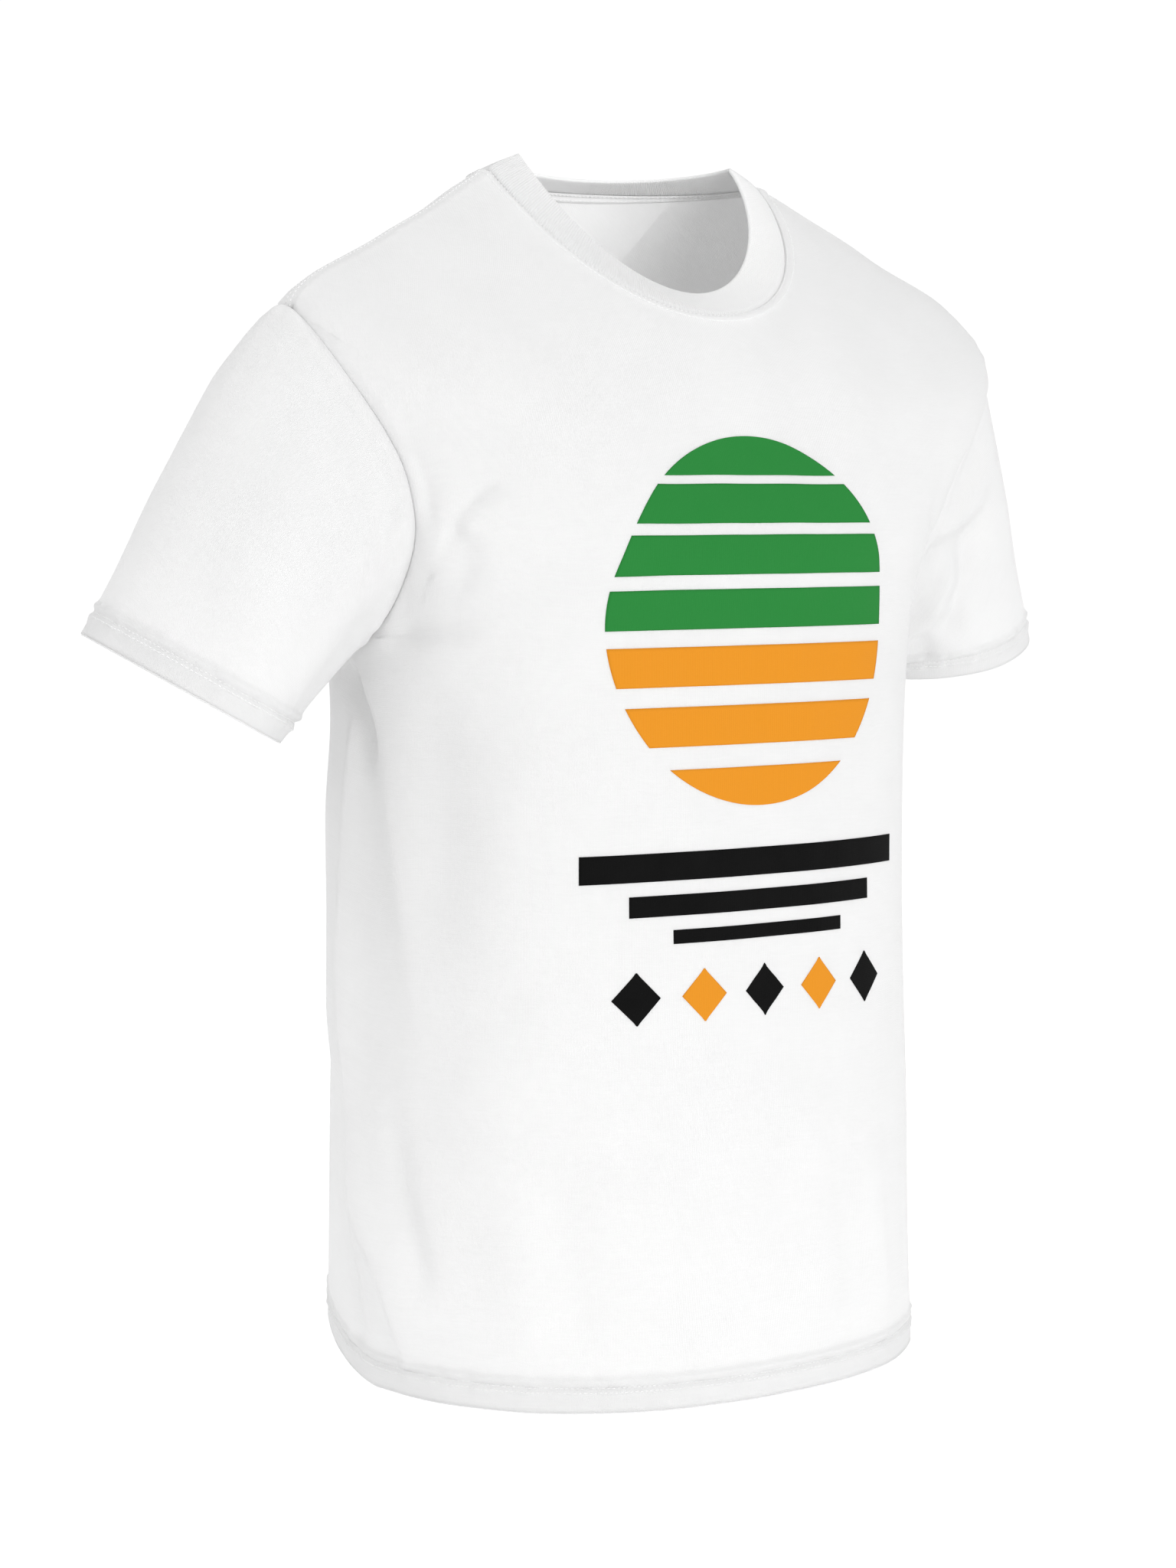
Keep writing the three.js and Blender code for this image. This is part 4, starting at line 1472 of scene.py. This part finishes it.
class SHIRT_OT_hems(bpy.types.Operator):
    """Turns the cloth up inside the body and the sleeves"""

    bl_idname = "shirt.hems"
    bl_label = "Hems"

    def execute(self, context):
        thickness = context.scene.shirt_cloth.thickness
        rings = turned_up(body_ring, HEM_TURN_UP, thickness, LAYER_GAP)
        piece = add_band("hem_of_body", rings, "jersey", True, thickness)
        dress(piece, "jersey", "body_hem")
        for name in SLEEVE_SIDES:
            rings = turned_up(
                lambda height, name=name: cuff_ring(name, height), HEM_TURN_UP, thickness, LAYER_GAP
            )
            piece = add_band(f"hem_of_sleeve_{name}", rings, "jersey", True, thickness)
            dress(piece, "jersey", f"{name}_sleeve_hem")
        return {"FINISHED"}


class SHIRT_OT_collar(bpy.types.Operator):
    """Makes the collar, a doubled ring of fine rib knit"""

    bl_idname = "shirt.collar"
    bl_label = "Collar"

    def execute(self, context):
        cloth = context.scene.shirt_cloth
        columns = COLUMNS_PER_RIB * cloth.rib_count
        turns = np.linspace(0, 2 * math.pi, columns + 1)
        section = collar_section(cloth.collar_thickness)
        normals = surface_normal(collar_point, np.full(turns.shape, 0.5), turns, 1, 0, 1)
        points = np.stack([collar_point(up, turns) + normals * out for up, out, _ in section])
        outward = np.stack([normals * face for _, _, face in section])
        sheet = Sheet(np.arange(len(section)), np.linspace(0, 1, columns + 1), points, outward, True)
        piece = collar_mesh(sheet)
        around = np.tile(np.arange(columns) / columns, len(section))
        layer = piece.data.attributes.new("round", "FLOAT", "POINT")
        layer.data.foreach_set("value", around.astype(np.float32))
        grow(
            piece, "rib_knit", rib_tree, ribs=cloth.rib_count, depth=cloth.rib_depth,
            cloth=material("rib"),
        )
        dress(piece, "rib", "collar")
        return {"FINISHED"}


COLLAR_ROWS_OUTSIDE = stretches((0.0, 0.2, 5), (0.2, 1.0, 8))
COLLAR_ROWS_INSIDE = np.linspace(1, 0, 8)


def collar_section(thickness):
    """Up the outside of the collar, over its edge and down the inside: how far up, how far
    out, and 1 outside or -1 inside."""
    radius = thickness / 2
    rows = []
    for up in COLLAR_ROWS_OUTSIDE:
        swell = COLLAR_SWELL * math.sin(math.pi * min(up * COLLAR_SWELL_PACE, 1))
        sink = COLLAR_SINK * math.exp(-((up * COLLAR_HEIGHT / COLLAR_SINK_REACH) ** 2))
        rows.append((up, swell - sink, 1))
    for angle in np.linspace(0, math.pi, FOLD_ROWS)[1:-1]:
        over = radius * math.sin(angle) / COLLAR_HEIGHT
        rows.append((1 + over, radius * (math.cos(angle) - 1), 1))
    for up in COLLAR_ROWS_INSIDE:
        rows.append((up, -thickness, -1))
    return rows


def collar_mesh(sheet):
    """A ring whose section closes on itself."""
    row_count, column_count = len(sheet.rows), len(sheet.columns) - 1
    ids = np.arange(row_count * column_count).reshape(row_count, column_count)
    ids = np.concatenate([ids, ids[:, :1]], axis=1)
    ids = np.concatenate([ids, ids[:1]], axis=0)
    places = np.stack([sheet.lengths(1), sheet.lengths(0)], axis=-1)
    places = np.concatenate([places, places[-1:] + (0, COLLAR_BASE)])
    points = sheet.points[:, :-1].reshape(-1, 3)
    normals = sheet.normals[:, :-1].reshape(-1, 3)
    quads, corners = facing_out(points, grid_quads(ids), normals, grid_corners(places))
    return add_piece("collar_rib", points, quads, material("rib"), corners)


class SHIRT_OT_tapes(bpy.types.Operator):
    """Makes the tape over the back neck seam and the raw edges inside the armhole seams"""

    bl_idname = "shirt.tapes"
    bl_label = "Tape and seam edges"

    def execute(self, context):
        thickness = context.scene.shirt_cloth.thickness
        depth = thickness + 2 * LAYER_GAP + TAPE_THICKNESS / 2
        rings = []
        for down in np.linspace(TAPE_TOP, TAPE_TOP + TAPE_WIDTH, 5):
            points, normals = back_neck(down)
            rings.append((points - normals * depth, -normals))
        tape = add_band("neck_tape_inside", rings, "tape", False, TAPE_THICKNESS)
        dress(tape, "tape", "neck_tape")
        for name, side in SLEEVE_SIDES.items():
            piece = armhole_edge(name, side, thickness)
            dress(piece, "jersey")
        return {"FINISHED"}


def armhole_edge(name, side, thickness):
    """The raw edges of an armhole seam, which stand inside the shirt."""
    points = armhole_line(side)[:-1]
    outward = armhole_outward(name)[:-1] * (side, 1, 1)
    along = unit(np.roll(points, -1, axis=0) - np.roll(points, 1, axis=0))
    across = unit(np.cross(along, outward))
    rings = [(points - outward * depth, across) for depth in SEAM_EDGE_DEPTHS]
    return add_band(f"seam_edge_{name}", rings, "jersey", True, SEAM_EDGE_LAYERS * thickness)


class SHIRT_OT_stitches(bpy.types.Operator):
    """Sews the hems, the neck, the shoulders and the neck tape"""

    bl_idname = "shirt.stitches"
    bl_label = "Stitches"

    def execute(self, context):
        add_stitches("stitches_body_hem", [(*body_ring(d), True) for d in HEM_ROWS], 1)
        for name, side in SLEEVE_SIDES.items():
            rows = [(*cuff_ring(name, d), True) for d in HEM_ROWS]
            add_stitches(f"stitches_sleeve_{name}", rows, 4 + side)
        neck = [(*body_ring(d, True), True) for d in NECK_ROWS]
        add_stitches("stitches_neck", neck, 7)
        shoulders = [
            (*shoulder_row(name, "back", d), False) for name in SLEEVE_SIDES for d in SHOULDER_ROWS
        ]
        add_stitches("stitches_shoulders", shoulders, 8)
        cloth = context.scene.shirt_cloth
        depth = cloth.thickness + 2 * LAYER_GAP + TAPE_THICKNESS
        tape = []
        for down in (TAPE_TOP + TAPE_ROW_INSET, TAPE_TOP + TAPE_WIDTH - TAPE_ROW_INSET):
            points, normals = back_neck(down)
            tape.append((points - normals * depth, -normals, False))
        add_stitches("stitches_tape", tape, 9)
        return {"FINISHED"}


class SHIRT_OT_print(bpy.types.Operator):
    """Prints the striped sun, the bars and the diamonds on the chest"""

    bl_idname = "shirt.print"
    bl_label = "Print"

    def execute(self, context):
        add_sun(context.scene.shirt_print)
        add_bars(context.scene.shirt_print)
        add_diamonds(context.scene.shirt_print)
        return {"FINISHED"}


def front_at(x, height):
    """The front sheet's points and normals that have a given x and height."""
    x, height = np.broadcast_arrays(x, height)
    low = np.zeros(x.shape)
    high = np.full(x.shape, float(NECK_SEAM))

    def turn_at(level):
        ring = ring_at(level)
        part = np.minimum(np.abs(x) / ring[..., HALF_WIDTH], 1)
        return np.arccos(np.sign(x) * part ** (ring[..., SQUARENESS] / 2))

    for _ in range(HALVINGS):
        middle = (low + high) / 2
        below = body_point(middle, turn_at(middle))[..., 2] < height
        low = np.where(below, middle, low)
        high = np.where(below, high, middle)
    edge = row_start(low, "front")
    return sheets()["front"].at(low, (turn_at(low) - edge) / (math.pi - 2 * edge))


def even_heights(bottom, top):
    return np.linspace(bottom, top, round((top - bottom) / INK_CELL) + 1)


def round_heights(bottom, top, ink):
    """Heights that lie at even steps round the edge of the sun, to keep it round."""
    shares = (np.array([bottom, top]) - ink.sun_height) / ink.sun_radius
    low, high = np.arcsin(np.clip(shares, -1, 1))
    count = max(SUN_FEWEST_ROWS, round((high - low) * ink.sun_radius / INK_CELL))
    return ink.sun_height + ink.sun_radius * np.sin(np.linspace(low, high, count + 1))


def add_ink(name, heights, half_width_at, centre, key):
    """A patch of ink in rows at the given heights, with a half width for each of them."""
    half_widths = np.array([half_width_at(height) for height in heights])
    column_count = round(2 * half_widths.max() / INK_CELL) + 1
    across = np.linspace(-1, 1, column_count)
    x = centre + half_widths[:, None] * across
    z = np.broadcast_to(heights[:, None], x.shape)
    points, normals = front_at(x, z)
    points = points + normals * bpy.context.scene.shirt_print.rise
    ids = np.arange(x.size).reshape(x.shape)
    corners = grid_corners(np.stack([x, z], axis=-1))
    flat = points.reshape(-1, 3)
    quads, corners = facing_out(flat, grid_quads(ids), normals.reshape(-1, 3), corners)
    piece = add_piece(f"ink_{name}", flat, quads, material(key), corners)
    thicken(piece, INK_THICKNESS)
    dress(piece, key, name)


def add_sun(ink):
    """Stripes across a disc, with gaps that grow wider downwards."""
    radius = ink.sun_radius
    gaps = [SUN_FIRST_GAP + SUN_GAP_GROWTH * i for i in range(SUN_STRIPES - 1)]
    stripe = (2 * radius - sum(gaps)) / SUN_STRIPES

    def half_width_at(height):
        return max(math.sqrt(max(radius ** 2 - (height - ink.sun_height) ** 2, 0)), SUN_TIP)

    top = ink.sun_height + radius
    for i, gap in enumerate([*gaps, 0]):
        heights = round_heights(top - stripe, top, ink)
        key = "green_ink" if i < GREEN_STRIPES else "orange_ink"
        add_ink(f"sun_stripe_{i + 1}", heights, half_width_at, 0, key)
        top -= stripe + gap


def add_bars(ink):
    top = ink.bar_top
    for i, (half_width, height) in enumerate(BARS):
        heights = even_heights(top - height, top)
        add_ink(f"bar_{i + 1}", heights, lambda _, width=half_width: width, 0, "black_ink")
        top -= height + BAR_GAP


def add_diamonds(ink):
    """A row of diamonds, black and orange in turn."""
    middle = ink.diamond_height
    heights = even_heights(middle - DIAMOND_SIZE, middle + DIAMOND_SIZE)

    def half_width_at(height):
        return max(DIAMOND_SIZE - abs(height - middle), DIAMOND_TIP)

    for i in range(DIAMOND_COUNT):
        centre = (i - (DIAMOND_COUNT - 1) / 2) * DIAMOND_SPACING
        key = "orange_ink" if i % 2 else "black_ink"
        add_ink(f"diamond_{i + 1}", heights, half_width_at, centre, key)


class SHIRT_OT_declare(bpy.types.Operator):
    """Takes no step; it leaves the pieces as they are"""

    bl_idname = "shirt.declare"
    bl_label = "Cut sizes"

    def execute(self, context):
        return {"FINISHED"}


class SHIRT_OT_stage(bpy.types.Operator):
    """Sets up the pale floor, the soft light and the camera"""

    bl_idname = "shirt.stage"
    bl_label = "Stage"

    def execute(self, context):
        stage = context.scene.shirt_stage
        add_camera(context.scene, stage)
        add_lights(context.scene, stage)
        add_sky(context.scene, stage)
        add_floor(context.scene, stage)
        context.scene.view_settings.view_transform = "Standard"
        return {"FINISHED"}


def add_camera(scene, stage):
    level = Vector((math.sin(stage.azimuth), -math.cos(stage.azimuth), 0))
    right = Vector((-level.y, level.x, 0))
    place = level * stage.distance + Vector((0, 0, stage.camera_height))
    aim = Vector((0, 0, stage.aim_height)) - right * AIM_ASIDE
    camera = bpy.data.objects.new("camera", bpy.data.cameras.new("camera"))
    camera.location = place
    camera.rotation_euler = (aim - place).to_track_quat("-Z", "Y").to_euler()
    camera.data.lens = stage.lens
    camera.data.clip_end = VIEW_END
    scene.collection.objects.link(camera)
    scene.camera = camera


def add_lamp(scene, name, kind, power, place, aim):
    lamp = bpy.data.lights.new(name, kind)
    lamp.energy = power
    light = bpy.data.objects.new(name, lamp)
    light.location = place
    light.rotation_euler = (Vector(aim) - light.location).to_track_quat("-Z", "Y").to_euler()
    scene.collection.objects.link(light)
    return lamp


def add_lights(scene, stage):
    """Large soft lights round the shirt, and a narrow one that shines into the neck."""
    for name, (place, height, size) in LIGHTS.items():
        power = getattr(stage, f"{name}_strength")
        lamp = add_lamp(scene, name, "AREA", power, place, (0, 0, height))
        lamp.shape = "DISK"
        lamp.size = size
    lamp = add_lamp(scene, "neck", "SPOT", stage.neck_strength, NECK_LIGHT_PLACE, NECK_LIGHT_AIM)
    lamp.shadow_soft_size = NECK_LIGHT_SIZE
    lamp.spot_size = NECK_LIGHT_CONE
    lamp.spot_blend = NECK_LIGHT_BLEND


def add_sky(scene, stage):
    """Even light from all round, in front of a white backdrop."""
    world = bpy.data.worlds.new("studio")
    world.use_nodes = True
    tree = world.node_tree
    white = opaque((1, 1, 1))
    glow = tree.nodes["Background"]
    plug(tree, glow.inputs["Color"], white)
    plug(tree, glow.inputs["Strength"], stage.sky_strength)
    backdrop = {"Color": white, "Strength": BACKDROP_STRENGTH}
    backdrop = add_node(tree, "ShaderNodeBackground", backdrop, {})
    path = add_node(tree, "ShaderNodeLightPath", {}, {})
    mixed = {0: path.outputs["Is Camera Ray"], 1: glow.outputs[0], 2: backdrop.outputs[0]}
    mix = add_node(tree, "ShaderNodeMixShader", mixed, {})
    plug(tree, tree.nodes["World Output"].inputs[0], mix.outputs[0])
    scene.world = world


def add_floor(scene, stage):
    """A wide, pale floor, well below the shirt."""
    turns = np.linspace(0, 2 * math.pi, FLOOR_SIDES + 1)[:-1]
    ring = np.stack([np.cos(turns), np.sin(turns), np.zeros_like(turns)], axis=-1) * FLOOR_RADIUS
    ring[:, 2] = CAD_BOX[0][2] - stage.floor_depth
    mesh = bpy.data.meshes.new("floor")
    mesh.from_pydata(ring.tolist(), [], [list(range(len(ring)))])
    mesh.materials.append(floor_material("pale_floor"))
    floor = bpy.data.objects.new("floor", mesh)
    scene.collection.objects.link(floor)


# ---- Panel and registration ----------------------------------------------------------------

PIECES = (
    SHIRT_OT_body, SHIRT_OT_sleeves, SHIRT_OT_hems, SHIRT_OT_collar, SHIRT_OT_tapes,
    SHIRT_OT_stitches, SHIRT_OT_print, SHIRT_OT_declare, SHIRT_OT_stage,
)
GROUPS = {"shirt_cloth": ShirtCloth, "shirt_print": ShirtPrint, "shirt_stage": ShirtStage}


class SHIRT_PT_sidebar(bpy.types.Panel):
    """Lists the shirt's pieces and their sizes"""

    bl_label = "T-shirt"
    bl_idname = "SHIRT_PT_sidebar"
    bl_space_type = "VIEW_3D"
    bl_region_type = "UI"
    bl_category = "T-shirt"

    def draw(self, context):
        for piece in PIECES:
            self.layout.operator(piece.bl_idname)
        for group in GROUPS:
            box = self.layout.box()
            settings = getattr(context.scene, group)
            for name in settings.bl_rna.properties.keys():
                if name not in ("rna_type", "name"):
                    box.prop(settings, name)


def register():
    for item in (*GROUPS.values(), *PIECES, SHIRT_PT_sidebar):
        bpy.utils.register_class(item)
    for name, group in GROUPS.items():
        setattr(bpy.types.Scene, name, PointerProperty(type=group))


def unregister():
    for name in GROUPS:
        delattr(bpy.types.Scene, name)
    for item in reversed((*GROUPS.values(), *PIECES, SHIRT_PT_sidebar)):
        bpy.utils.unregister_class(item)


def main():
    register()
    for piece in PIECES:
        group, name = piece.bl_idname.split(".")
        getattr(getattr(bpy.ops, group), name)()


if __name__ == "__main__":
    main()
